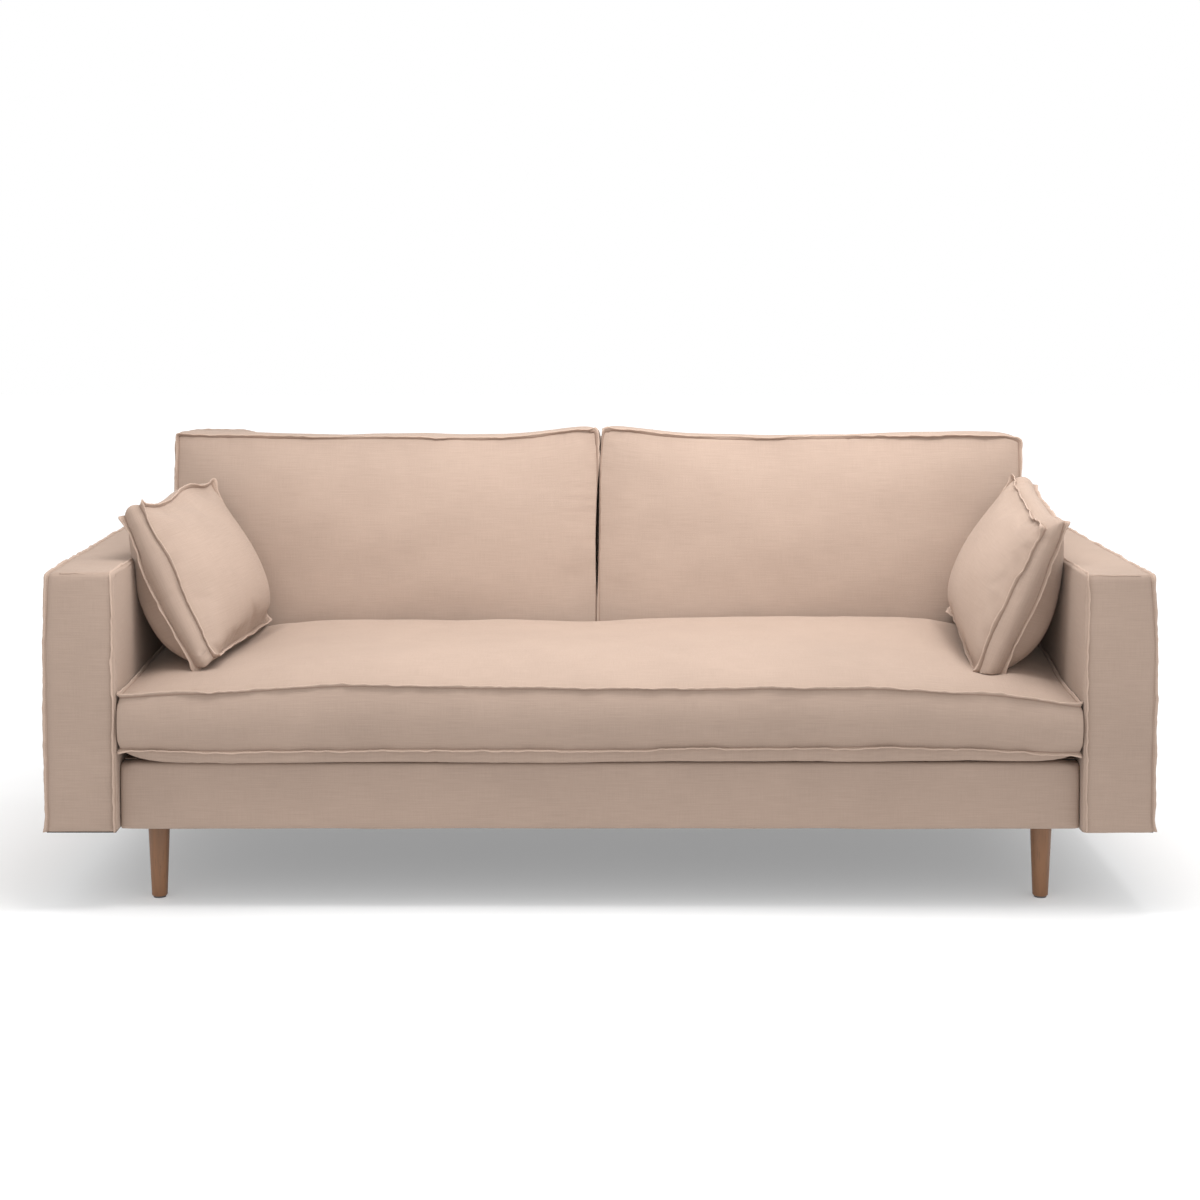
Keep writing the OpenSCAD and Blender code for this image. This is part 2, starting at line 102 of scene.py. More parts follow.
def add_studio():
    world = bpy.data.worlds.new("studio")
    world.use_nodes = True
    background = world.node_tree.nodes["Background"]
    background.inputs["Color"].default_value = (1.0, 1.0, 1.0, 1.0)
    background.inputs["Strength"].default_value = 1.0
    scene.world = world
    scene.view_settings.view_transform = "Standard"
    add_light("key", (3.0, 1.0), 15.5, place=(0.60, -0.40, 2.7), target=(0.1, -0.05, 0.4))
    add_light("strip", (2.2, 0.3), 13, place=(0.20, -0.56, 1.80), target=(0.05, 0.12, 0.48), spread=120)
    add_light("low", (2.0, 0.2), 0.5, place=(0.0, -1.7, 0.95), target=(0.0, 0.15, 0.56), spread=30)
    add_light("side", (1.2, 1.2), 5, place=(3.2, -1.4, 2.2), target=(0.2, 0, 0.5))


def add_floor():
    me = bpy.data.meshes.new("floor")
    reach = 14.0
    me.from_pydata([(x * reach, y * reach, 0) for x, y in ((-1, -1), (1, -1), (1, 1), (-1, 1))], [], [(0, 1, 2, 3)])
    floor = bpy.data.objects.new("floor", me)
    scene.collection.objects.link(floor)
    me.materials.append(floor_material())


# ---------------------------------------------------------------- materials

class Nodes:
    """A material's node tree, with short calls that add and join its nodes."""

    def __init__(self, name):
        self.material = bpy.data.materials.new(name)
        self.material.use_nodes = True
        self.tree = self.material.node_tree
        self.shader = self.tree.nodes["Principled BSDF"]

    def add(self, kind, links=None, **settings):
        node = self.tree.nodes.new("ShaderNode" + kind)
        for key, value in settings.items():
            setattr(node, key, value)
        for socket, value in (links or {}).items():
            self.set(node, socket, value)
        return node

    def set(self, node, socket, value):
        if isinstance(value, bpy.types.NodeSocket):
            self.tree.links.new(value, node.inputs[socket])
        else:
            node.inputs[socket].default_value = value

    def math(self, operation, *values):
        node = self.add("Math", operation=operation)
        for i, value in enumerate(values):
            self.set(node, i, value)
        return node.outputs[0]

    def weighted(self, *terms):
        """The sum of sockets, each times its own weight."""
        total, *others = (self.math("MULTIPLY", socket, weight) for socket, weight in terms)
        for other in others:
            total = self.math("ADD", total, other)
        return total

    def sine(self, length, period):
        return self.math("SINE", self.math("MULTIPLY", length, 2 * math.pi / period))

    def mixed(self, fac, first, second, blend_type="MIX"):
        node = self.add("MixRGB", {"Fac": fac, "Color1": first, "Color2": second}, blend_type=blend_type)
        return node.outputs["Color"]

    def shade(self, **sockets):
        """Sets or links the shader's own sockets. Their names' spaces are written as underscores."""
        for socket, value in sockets.items():
            self.set(self.shader, socket.replace("_", " "), value)

    def scaled(self, source, scale):
        return self.add("Mapping", {"Vector": source, "Scale": scale}).outputs[0]

    def noise(self, vector, scale, detail=2.0, roughness=0.5):
        node = self.add("TexNoise", {"Vector": vector, "Scale": scale, "Detail": detail,
                                     "Roughness": roughness})
        return node.outputs["Fac"]

    def ramp(self, fac, *stops):
        node = self.add("ValToRGB", {"Fac": fac})
        ramp = node.color_ramp
        while len(ramp.elements) < len(stops):
            ramp.elements.new(0.5)
        for element, (place, colour) in zip(ramp.elements, stops):
            element.position = place
            element.color = (*colour, 1.0)
        return node.outputs["Color"]

    def bump(self, height, strength, distance, normal=None):
        links = {"Height": height, "Strength": strength, "Distance": distance}
        if normal is not None:
            links["Normal"] = normal
        return self.add("Bump", links).outputs["Normal"]


def tone(colour, factor):
    return tuple(min(1.0, c * factor) for c in colour)


ROSE = (0.370, 0.276, 0.222)


THREAD = 0.0011         # the weave's pitch
STITCH = 0.0042         # a stitch's length, and its height up the seam


def cloth_material(name, colour, stitched=False):
    """Plain-weave cloth. Its threads follow the piece's own cloth UV map, which is in metres."""
    n = Nodes(name)
    uv = n.add("UVMap", uv_map="cloth").outputs["UV"]
    parts = n.add("SeparateXYZ", {"Vector": uv}).outputs
    wobble = n.math("MULTIPLY", n.noise(uv, 220.0, 1.0), THREAD * 1.6)
    across, along = (n.sine(n.math("ADD", parts[axis], wobble), 2 * THREAD) for axis in "XY")
    weave = n.math("MULTIPLY", across, along)
    slubs = n.noise(n.scaled(uv, (16.0, 640.0, 1.0)), 1.0, 3.0, 0.6)
    warps = n.noise(n.scaled(uv, (700.0, 24.0, 1.0)), 1.0, 2.0, 0.5)
    clouds = n.noise(uv, 5.0, 3.0, 0.6)
    fibre = n.noise(uv, 1900.0, 2.0, 0.7)
    mix = n.weighted((slubs, 0.40), (warps, 0.18), (clouds, 0.26), (fibre, 0.16), (weave, 0.05))
    colours = n.ramp(mix, (0.32, tone(colour, 0.86)), (0.50, colour), (0.68, tone(colour, 1.13)))
    normal = n.bump(n.weighted((weave, 0.5), (slubs, 1.3), (warps, 0.6)), 0.55, 0.00035)
    if stitched:
        dash = n.math("GREATER_THAN", n.sine(parts["X"], STITCH), -0.35)
        row = n.math("COMPARE", n.math("ABSOLUTE", parts["Y"]), STITCH, 0.0007)
        stitch = n.math("MULTIPLY", dash, row)
        normal = n.bump(stitch, 0.9, 0.0006, normal)
        colours = n.mixed(n.math("MULTIPLY", stitch, 0.35), colours, (*tone(colour, 0.62), 1.0))
        # painted light: the seam's tip is painted lighter as a highlight, and the fold at its foot is painted darker
        # as shade
        up = n.add("MapRange", {"Value": parts["Y"], "From Min": 0.0, "From Max": 0.0085}).outputs["Result"]
        rise = n.ramp(up, (0.10, (0.62, 0.58, 0.56)), (0.34, (0.90, 0.89, 0.88)), (0.70, (1.0, 1.0, 1.0)))
        colours = n.mixed(1.0, colours, rise, "MULTIPLY")
    n.shade(Base_Color=colours, Normal=normal)
    n.shade(Roughness=0.9, Sheen_Weight=0.15, Sheen_Roughness=0.45, Specular_IOR_Level=0.18)
    n.shade(Sheen_Tint=(1.0, 0.86, 0.76, 1.0))
    return n.material


def object_place(n, scale=(1, 1, 1)):
    return n.scaled(n.add("TexCoord").outputs["Object"], scale)


def wood_material(name, colour, gloss, grain=(46.0, 46.0, 3.0)):
    """Straight-grained wood with darker pores. gloss is the least roughness, grain the frequency on each axis."""
    n = Nodes(name)
    place = object_place(n, grain)
    rings = n.noise(place, 1.0, 5.0, 0.62)
    pores = n.noise(object_place(n, tuple(g * 9 for g in grain)), 1.0, 2.0, 0.5)
    broad = n.noise(object_place(n, tuple(g * 0.22 for g in grain)), 1.0, 2.0, 0.5)
    colours = n.ramp(n.weighted((rings, 0.62), (broad, 0.38)), (0.30, tone(colour, 0.62)),
                     (0.47, tone(colour, 0.92)), (0.56, tone(colour, 1.08)), (0.72, tone(colour, 1.35)))
    dark = n.math("LESS_THAN", pores, 0.36)
    colours = n.mixed(n.math("MULTIPLY", dark, 0.35), colours, (*tone(colour, 0.42), 1.0))
    rough = n.math("ADD", gloss, n.math("MULTIPLY", rings, 0.16))
    normal = n.bump(n.weighted((rings, 0.6), (dark, -0.5)), 0.35, 0.0004)
    n.shade(Base_Color=colours, Roughness=rough, Normal=normal)
    n.shade(Coat_Weight=0.12, Coat_Roughness=0.3)
    return n.material


def grainy_material(name, colour, cell, depth, roughness=0.9, metallic=0.0, spread=0.2, stretch=(1, 1, 1)):
    """A matte or metal surface with fine mottling: foam, wadding, felt, board, cloth backing or plated steel.

    cell is the size of its grains, depth their height, and spread how far their colours differ."""
    n = Nodes(name)
    place = object_place(n, stretch)
    fine = n.noise(place, 1.0 / cell, 4.0, 0.65)
    broad = n.noise(place, 0.06 / cell, 2.0, 0.5)
    mix = n.weighted((fine, 0.65), (broad, 0.35))
    colours = n.ramp(mix, (0.34, tone(colour, 1 - spread)), (0.5, colour), (0.66, tone(colour, 1 + spread)))
    rough = n.math("ADD", roughness - 0.05, n.math("MULTIPLY", fine, 0.1))
    n.shade(Base_Color=colours, Roughness=rough, Normal=n.bump(fine, 0.6, depth))
    n.shade(Metallic=metallic)
    return n.material


def webbing_material():
    """Black elastic webbing with a coarse rib."""
    n = Nodes("webbing")
    parts = n.add("SeparateXYZ", {"Vector": object_place(n)}).outputs
    weave = n.math("MULTIPLY", n.sine(parts["X"], 0.004), n.sine(parts["Y"], 0.0025))
    colours = n.ramp(n.math("ADD", n.math("MULTIPLY", weave, 0.25), 0.5),
                     (0.2, (0.045, 0.045, 0.047)), (0.8, (0.11, 0.11, 0.115)))
    n.shade(Base_Color=colours, Normal=n.bump(weave, 0.7, 0.0005))
    n.shade(Roughness=0.75, Sheen_Weight=0.1)
    return n.material


def floor_material():
    """Pale paper that glows a little, and more with distance, so that the floor runs into the white studio."""
    n = Nodes("floor")
    place = n.add("NewGeometry").outputs["Position"]
    colours = n.ramp(n.noise(place, 2.0), (0.3, (0.69, 0.69, 0.69)), (0.7, (0.71, 0.71, 0.71)))
    # painted light: the glow also reaches into the sofa's shadow, which pales that shadow on the floor
    away = n.add("VectorMath", {0: place}, operation="LENGTH").outputs["Value"]
    glow = n.add("MapRange", {"Value": away, "From Min": 1.2, "From Max": 3.0, "To Min": 0.26,
                              "To Max": 0.42}, interpolation_type="SMOOTHSTEP").outputs["Result"]
    n.shade(Base_Color=colours, Emission_Strength=glow)
    n.shade(Emission_Color=(1.0, 1.0, 1.0, 1.0), Roughness=0.85, Specular_IOR_Level=0.1)
    return n.material


# ---------------------------------------------------------------- mesh helpers

def new_object(name, points, faces, material, uvs=None, smooth=True):
    """A mesh object. uvs has one pair in metres for each corner of each face, in order."""
    me = bpy.data.meshes.new(name)
    me.from_pydata([tuple(p) for p in points], [], faces)
    if uvs is not None:
        layer = me.uv_layers.new(name="cloth")
        layer.data.foreach_set("uv", np.asarray(uvs, np.float32).ravel())
    me.polygons.foreach_set("use_smooth", [smooth] * len(me.polygons))
    me.materials.append(material)
    ob = bpy.data.objects.new(name, me)
    scene.collection.objects.link(ob)
    return ob


def read_points(me):
    co = np.empty(len(me.vertices) * 3, np.float32)
    me.vertices.foreach_get("co", co)
    return co.reshape(-1, 3).astype(float)


def write_points(me, points):
    me.vertices.foreach_set("co", np.asarray(points, np.float32).ravel())
    me.update()


def read_normals(me):
    no = np.empty(len(me.vertices) * 3, np.float32)
    me.vertex_normals.foreach_get("vector", no)
    return no.reshape(-1, 3).astype(float)


def reshape(ob, *steps):
    """Moves an object's points by one function of points after another."""
    points = read_points(ob.data)
    for step in steps:
        points = step(points)
    write_points(ob.data, points)


def apply_modifier(ob, name):
    bpy.context.view_layer.objects.active = ob
    with bpy.context.temp_override(object=ob, active_object=ob):
        bpy.ops.object.modifier_apply(modifier=name)


def place_piece(ob, body, slot, *nodes):
    """Ties a piece to its body, and hides the CAD nodes that it stands for, if any. slot is not used."""
    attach(ob, body)
    if nodes:
        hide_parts(*nodes)


def unit(v):
    length = np.linalg.norm(v, axis=-1, keepdims=True)
    return v / np.maximum(length, 1e-9)


def part(t):
    """t, kept between 0 and 1."""
    return np.clip(t, 0, 1)


def ease(t):
    """A smooth step from 0 to 1 as t goes from 0 to 1."""
    t = part(t)
    return t * t * (3 - 2 * t)


def bell(t):
    """A smooth hump, 1 high at t = 0 and nearly gone at t = 2."""
    return np.exp(-t ** 2)


NOISE_GAIN = 1.6    # noise.noise alone seldom goes beyond 0.6 either way


def waves(s, seed, period):
    """Smooth noise between about -1 and 1 along a length, which never repeats."""
    return np.array([noise.noise(Vector((x / period, seed * 7.31, 0.5 * seed))) for x in s]) * NOISE_GAIN


def field(points, seed, period):
    """Smooth noise between about -1 and 1 over points in space."""
    shift = Vector((seed * 3.7, seed * 1.3, seed * 5.1))
    return np.array([noise.noise(Vector(p) / period + shift) for p in points]) * NOISE_GAIN


def lengths_along(points):
    """How far along a line each of its points lies."""
    return np.concatenate([[0], np.cumsum(np.linalg.norm(np.diff(points, axis=0), axis=1))])


# ---------------------------------------------------------------- seams

def resample(points, step, closed):
    """Points about one step apart on a smooth line through the given points, and the arc length of each."""
    pts = np.asarray(points, float)
    ring = np.vstack([pts, pts[:1]]) if closed else pts
    lengths = lengths_along(ring)
    count = max(4, int(round(lengths[-1] / step)))
    s = np.linspace(0, lengths[-1], count + 1)
    if closed:
        s = s[:-1]
    k = np.clip(np.searchsorted(lengths, s, side="right") - 1, 0, len(ring) - 2)
    t = ((s - lengths[k]) / np.maximum(lengths[k + 1] - lengths[k], 1e-9))[:, None]
    last = len(ring) - 1
    before = ring[(k - 1) % last] if closed else ring[np.maximum(k - 1, 0)]
    after = ring[(k + 2) % last] if closed else ring[np.minimum(k + 2, last)]
    a, b = ring[k], ring[k + 1]
    out = 0.5 * (2 * a + (b - before) * t + (2 * before - 5 * a + 4 * b - after) * t ** 2
                 + (3 * a - before - 3 * b + after) * t ** 3)
    return out, s, lengths[-1]


# across and up, as parts of the seam's thickness and height: its foot is sunk, and the stitches draw in its waist
FLANGE_PROFILE = [(-0.90, -0.35), (-0.62, 0.08), (-0.30, 0.34), (-0.62, 0.60), (-0.60, 0.88), (0.0, 1.0),
                  (0.60, 0.88), (0.62, 0.60), (0.30, 0.34), (0.62, 0.08), (0.90, -0.35)]


EAR_REACH = 0.011   # how far along a seam its corners stand up
PRESSED = 0.03      # how much of its thickness a seam keeps where it is pressed flat


def flange(name, path, outward, body, seed, closed=True, height=0.008, thickness=0.0021, limp=0.35,
           ears=(), ear_height=1.6, limit=None):
    """A raised seam: both cloths' edges stitched together, standing out along path.

    outward has one direction for each point of path. limp is how far the seam leans over to one side and the other,
    in radians. ears are points near which it stands higher. limit keeps it clear of its neighbours."""
    points, s, total = resample(path, 0.0045, closed)
    source = np.asarray(path, float)
    near = nearest(points, source)
    out = unit(smooth_rows(np.asarray(outward, float)[near], 3, closed))
    ahead = np.roll(points, -1, axis=0) if closed else np.vstack([points[1:], points[-1:]])
    behind = np.roll(points, 1, axis=0) if closed else np.vstack([points[:1], points[:-1]])
    tangent = unit(ahead - behind)
    side = unit(np.cross(tangent, out))
    lean = limp * (waves(s, seed, 0.075) + 0.5 * waves(s, seed + 3, 0.021) + 0.35 * waves(s, seed + 4, 0.011))
    tall = height * (1 + 0.13 * waves(s, seed + 5, 0.05) + 0.09 * waves(s, seed + 8, 0.014))
    for ear in ears:
        away = np.linalg.norm(points - np.asarray(ear), axis=1)
        tall = tall * (1 + (ear_height - 1) * bell(away / EAR_REACH))
    up = unit(np.cos(lean)[:, None] * out + np.sin(lean)[:, None] * side)
    wide = unit(np.cos(lean)[:, None] * side - np.sin(lean)[:, None] * out)
    mesh = np.stack([points + wide * (x * thickness) + up * (y * tall)[:, None] for x, y in FLANGE_PROFILE], axis=1)
    if limit is not None:
        flat = limit(mesh.reshape(-1, 3)).reshape(mesh.shape)
        mesh = flat + PRESSED * (mesh - flat)
    count, width = mesh.shape[:2]
    faces, uvs = [], []
    for i in range(count if closed else count - 1):
        j = (i + 1) % count
        s0, s1 = s[i], (total if j == 0 else s[j])
        for k in range(width):
            m = (k + 1) % width
            faces.append((i * width + k, j * width + k, j * width + m, i * width + m))
            v0, v1 = FLANGE_PROFILE[k][1] * height, FLANGE_PROFILE[m][1] * height
            uvs += [(s0, v0), (s1, v0), (s1, v1), (s0, v1)]
    if not closed:
        faces.append(tuple(range(width)))
        faces.append(tuple(range((count - 1) * width, count * width))[::-1])
        uvs += [(0, 0)] * (2 * width)
    ob = new_object(name, mesh.reshape(-1, 3), faces, MATERIALS["seam"], uvs)
    place_piece(ob, body, "upholstery")


def nearest(points, source):
    """The index of the source point that is nearest to each point."""
    found = np.empty(len(points), int)
    for start in range(0, len(points), 256):
        chunk = points[start:start + 256]
        found[start:start + 256] = ((chunk[:, None] - source[None]) ** 2).sum(2).argmin(1)
    return found


def smooth_rows(rows, times, closed):
    """Averages each row with its neighbours, some times over."""
    for _ in range(times):
        if closed:
            rows = (np.roll(rows, 1, 0) + 2 * rows + np.roll(rows, -1, 0)) / 4
        else:
            inner = (rows[:-2] + 2 * rows[1:-1] + rows[2:]) / 4
            rows = np.vstack([rows[:1], inner, rows[-1:]])
    return rows


# ---------------------------------------------------------------- boxed cushions

class Lattice:
    """The surface of a box, cut into a grid: two panels joined by a boxing strip that runs round them."""

    def __init__(self, counts):
        nu, nv, nw = counts
        index, self.grid = {}, []

        def at(i, j, k):
            if (i, j, k) not in index:
                index[i, j, k] = len(self.grid)
                self.grid.append((i, j, k))
            return index[i, j, k]

        self.faces, self.side = [], []
        for k, panel in ((nw, 1), (0, -1)):
            for i in range(nu):
                for j in range(nv):
                    quad = [at(i, j, k), at(i + 1, j, k), at(i + 1, j + 1, k), at(i, j + 1, k)]
                    self.faces.append(quad if panel > 0 else quad[::-1])
                    self.side.append(panel)
        ring = [(i, 0) for i in range(nu)] + [(nu, j) for j in range(nv)]
        ring += [(nu - i, nv) for i in range(nu)] + [(0, nv - j) for j in range(nv)]
        for step, (i, j) in enumerate(ring):
            p, q = ring[(step + 1) % len(ring)]
            for k in range(nw):
                self.faces.append([at(i, j, k), at(p, q, k), at(p, q, k + 1), at(i, j, k + 1)])
                self.side.append(0)
        self.ring = ring
        self.seams = [at(i, j, nw) for i, j in ring], [at(i, j, 0) for i, j in ring]
        self.corners = [at(i, j, k) for i in (0, nu) for j in (0, nv) for k in (0, nw)]
        self.counts = counts
        self.unit = np.array(self.grid, float) / np.array(counts) * 2 - 1
        # the panels' cells are finer near the seams
        flat = self.unit[:, :2]
        self.unit[:, :2] = np.sign(flat) * (1 - (1 - np.abs(flat)) ** 1.3)

    def uvs(self, half):
        """Cloth coordinates in metres for each corner of each face."""
        a, b, c = half
        nw = self.counts[2]
        place = {key: step for step, key in enumerate(self.ring)}
        ring = self.unit[self.seams[0]][:, :2] * (a, b)
        lengths = lengths_along(np.vstack([ring, ring[:1]]))
        out = []
        for quad, side in zip(self.faces, self.side):
            if side:
                out += [(self.unit[v][0] * a, self.unit[v][1] * b + side * 3 * b) for v in quad]
            else:
                keys = [self.grid[v] for v in quad]
                first = place[keys[0][:2]]
                spans = [lengths[first], lengths[first + 1], lengths[first + 1], lengths[first]]
                out += [(s, (2 * key[2] / nw - 1) * c) for s, key in zip(spans, keys)]
        return out


class Cushion:
    """One boxed cushion, with its panels' seams.

    basis holds three unit vectors: along the length, along the height or depth, and out of the front panel.
    half is half the length, half the height and half the boxing's width.
    crown is how far the front and back panels rise in the middle, power how square that rise is.
    pull is how far the sides are drawn in at mid-length and mid-height, bulge how far the boxing swells.
    sag shifts the panels' fullest part down, as a part of half the height.
    cell is the size of the panels' quads, and boxing_rows how many rows the boxing has.
    shape bends the whole cushion, and limit keeps it clear of what is beside it.
    swell is the farthest that the simulation may move a point, and pucker the depth of the folds at the seams.
    ear is how much higher the seams stand at the corners.
    ripple is how far the seams' lines wander, and over what length."""

    def __init__(self, name, body, centre, basis, half, crown, power, pull, bulge, cell, boxing_rows, seed,
                 replaces, fill, zip_line, shape=None, limit=None, swell=0.006, pucker=0.0016, sag=0.0, ear=1.6,
                 ripple=(0.0022, 0.16)):
        self.name, self.body, self.seed, self.limit, self.fill = name, body, seed, limit, fill
        self.centre, self.basis, self.half = np.array(centre, float), np.array(basis, float), half
        self.replaced, self.swell, self.pucker, self.zip_line = replaces, swell, pucker, zip_line
        self.ear, self.ripple = ear, ripple
        a, b, c = half
        self.lattice = Lattice((round(2 * a / cell), round(2 * b / cell), boxing_rows))
        u, v, w = self.lattice.unit.T
        rise = (1 - np.abs(u) ** power[0]) * (1 - np.abs(v + sag * (1 - v ** 2)) ** power[1])
        x = a * u - np.sign(u) * np.abs(u) ** 3 * pull[0] * (1 - v ** 2)
        y = b * v - np.sign(v) * np.abs(v) ** 3 * pull[1] * (1 - u ** 2)
        # the boxing swells between the seams, and turns its corners in a soft round
        boxing = (1 - w ** 2) * bulge
        toward_x, toward_y = np.sign(u) * np.abs(u) ** 40, np.sign(v) * np.abs(v) ** 24
        reach = np.maximum(np.hypot(toward_x, toward_y), 1e-9)
        x = x + boxing * toward_x / reach
        y = y + boxing * toward_y / reach
        z = c * w + np.where(w > 0.999, crown[0] * rise, 0) - np.where(w < -0.999, crown[1] * rise, 0)
        if shape is not None:
            x, y, z = shape(u, v, w, x, y, z)
        local = np.stack([x, y, z], axis=1)
        points = self.centre + local @ self.basis
        self.obj = new_object(name, points, self.lattice.faces, MATERIALS["cloth"], self.lattice.uvs(half))
        self.start = points

    def add_cloth(self):
        """Sets up the cloth, which takes up more cloth in the panels than along the seams."""
        group = self.obj.vertex_groups.new(name="seams")
        group.add(sum(self.lattice.seams, []), 1.0, "REPLACE")
        cloth = self.obj.modifiers.new("cloth", "CLOTH")
        s = cloth.settings
        s.quality = 4
        s.mass = 0.25
        s.tension_stiffness = s.compression_stiffness = 12
        s.shear_stiffness = 6
        s.bending_stiffness = 0.35
        s.use_pressure = True
        s.uniform_pressure_force = 4.0
        s.effector_weights.gravity = 0.0
        s.vertex_group_shrink = "seams"
        s.shrink_min = -0.012
        s.shrink_max = 0.030
        cloth.collision_settings.use_collision = False
        cloth.point_cache.frame_start = 1
        cloth.point_cache.frame_end = SIM_FRAMES

    def take_cloth(self):
        """Reads the simulated shape, and caps how far each point has moved."""
        graph = bpy.context.evaluated_depsgraph_get()
        moved = read_points(self.obj.evaluated_get(graph).data)
        self.obj.modifiers.remove(self.obj.modifiers["cloth"])
        shift = moved - self.start
        length = np.linalg.norm(shift, axis=1, keepdims=True)
        shift = shift * np.minimum(1.0, self.swell * np.tanh(length / self.swell) / np.maximum(length, 1e-9))
        write_points(self.obj.data, self.start + shift)

    def wander(self):
        """Long, shallow unevenness of a stuffed cover, and a wavy seam line."""
        points = read_points(self.obj.data)
        normals = read_normals(self.obj.data)
        coarse = field(points, self.seed, 0.23) * 0.0028 + field(points, self.seed + 9, 0.09) * 0.0010
        points = points + normals * coarse[:, None]
        height, period = self.ripple
        for k, seam in enumerate(self.lattice.seams, 1):
            shift = waves(lengths_along(points[seam]), self.seed + 11 * k, period) * height
            points[seam] += self.basis[2] * shift[:, None]
        write_points(self.obj.data, points)

    def add_puckers(self):
        """Short folds that run into the seams, where the cloth is gathered a little."""
        me = self.obj.data
        points, normals = read_points(me), read_normals(me)
        p = (points - self.centre) @ self.basis.T
        gap = np.maximum(np.array(self.half) - np.abs(p), 0)
        reach = 0.020 + 0.45 * self.half[2]
        depth = np.zeros(len(points))
        for along, across in ((0, 1), (1, 0)):
            away = gap[:, across] + gap[:, 2]
            fold = waves(p[:, along] + 3.1 * np.sign(p[:, across]), self.seed + 13 * along, 0.017)
            some = waves(p[:, along] - 1.7 * np.sign(p[:, 2]), self.seed + 17 + along, 0.11)
            fold = np.maximum(fold - 0.15, 0) * np.clip(0.5 + 0.8 * some, 0.1, 1.2)
            depth += fold * np.exp(-away / reach) * (1 - bell(away / 0.007))
        write_points(me, points - normals * (self.pucker * depth)[:, None])

    def bed_zip(self):
        """Lays the boxing flat along its zip, just below the zip's face."""
        start, end, normal = (np.array(v, float) for v in self.zip_line)
        length = np.linalg.norm(end - start)
        along = (end - start) / length
        points = read_points(self.obj.data)
        p = points - start
        beyond = np.maximum(np.maximum(-(p @ along), p @ along - length), 0)
        away = np.hypot(p @ np.cross(along, normal), beyond)
        # flat within 11 mm of the zip, and free beyond 21 mm
        blend = ease((0.021 - away) / 0.010) * (np.abs(p @ normal) < 0.03)
        points -= ((p @ normal + 0.0008) * blend)[:, None] * normal
        write_points(self.obj.data, points)

    def keep_clear(self, neighbours, gap=0.0015):
        """Flattens the cushion where it would pass into a neighbour, down to its surface."""
        points = read_points(self.obj.data)
        for other in neighbours:
            me = other.data
            tree = BVHTree.FromPolygons([v.co for v in me.vertices], [tuple(p.vertices) for p in me.polygons])
            for i, point in enumerate(points):
                hit, normal, _, _ = tree.find_nearest(Vector(point), 0.06)
                if hit is not None:
                    height = (Vector(point) - hit).dot(normal)
                    if height < gap:
                        points[i] = np.array(Vector(point) + normal * (gap - height))
        write_points(self.obj.data, points)

    def finish(self, neighbours=()):
        """Subdivides the cover, folds it at its seams, fits it among its neighbours, and adds its zip and seams."""
        me = self.obj.data
        rim = {frozenset(pair) for seam in self.lattice.seams for pair in zip(seam, seam[1:] + seam[:1])}
        values = [0.8 if frozenset(e.vertices) in rim else 0.0 for e in me.edges]
        me.attributes.new("crease_edge", "FLOAT", "EDGE").data.foreach_set("value", values)
        if SUBDIVIDE:
            self.obj.modifiers.new("fine", "SUBSURF").levels = SUBDIVIDE
            apply_modifier(self.obj, "fine")
        self.add_puckers()
        if self.limit is not None:
            write_points(me, self.limit(read_points(me)))
        self.keep_clear(neighbours)
        self.bed_zip()
        zip_piece(self.replaced[0].replace("_cover", "_zip"), self.body, *self.zip_line)
        place_piece(self.obj, self.body, "upholstery", *self.replaced)
        # subdividing keeps the lattice's own points first, and in their order
        points, normals = read_points(me), read_normals(me)
        for k, (seam, label) in enumerate(zip(self.lattice.seams, ("front", "back")), 1):
            flange(f"{self.name}_seam_{label}", points[seam], normals[seam], self.body, self.seed + k,
                   ears=points[self.lattice.corners], ear_height=self.ear, limit=self.limit)


SIM_FRAMES = 20


def simulate(cushions):
    """Inflates every cushion's cover as cloth, all of them at once."""
    scene.frame_start, scene.frame_end = 1, SIM_FRAMES
    for cushion in cushions:
        cushion.add_cloth()
    for f in range(1, SIM_FRAMES + 1):
        scene.frame_set(f)
    for cushion in cushions:
        cushion.take_cloth()


def clamp(low=(None, None, None), high=(None, None, None)):
    """A function that keeps points inside a box. None leaves that side open."""
    least = [-np.inf if value is None else value for value in low]
    most = [np.inf if value is None else value for value in high]
    return lambda points: np.clip(points, least, most)


def half_space(origin, normal):
    """A function that keeps points on the side of a plane that its normal points to."""
    origin, normal = np.array(origin, float), np.array(normal, float)

    def limit(points):
        depth = (points - origin) @ normal
        return points - np.minimum(depth, 0)[:, None] * normal
    return limit


def all_of(*limits):
    """A function that applies each limit in turn."""
    def limit(points):
        for one in limits:
            points = one(points)
        return points
    return limit


ARM_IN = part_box("right_arm_cover")[0][0]    # where the arms' inner faces stand, either side of the middle
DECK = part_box("front_border_cover")[1][2]   # the height that the seat cushion rests at


def zip_line_of(node, normal):
    """The ends of a CAD zip's middle line along X, on its face, and the way that the face looks."""
    low, high = (np.array(corner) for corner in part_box(node))
    face = (low + high) / 2 + np.array(normal) * (high - low) / 2
    return (low[0], *face[1:]), (high[0], *face[1:]), normal


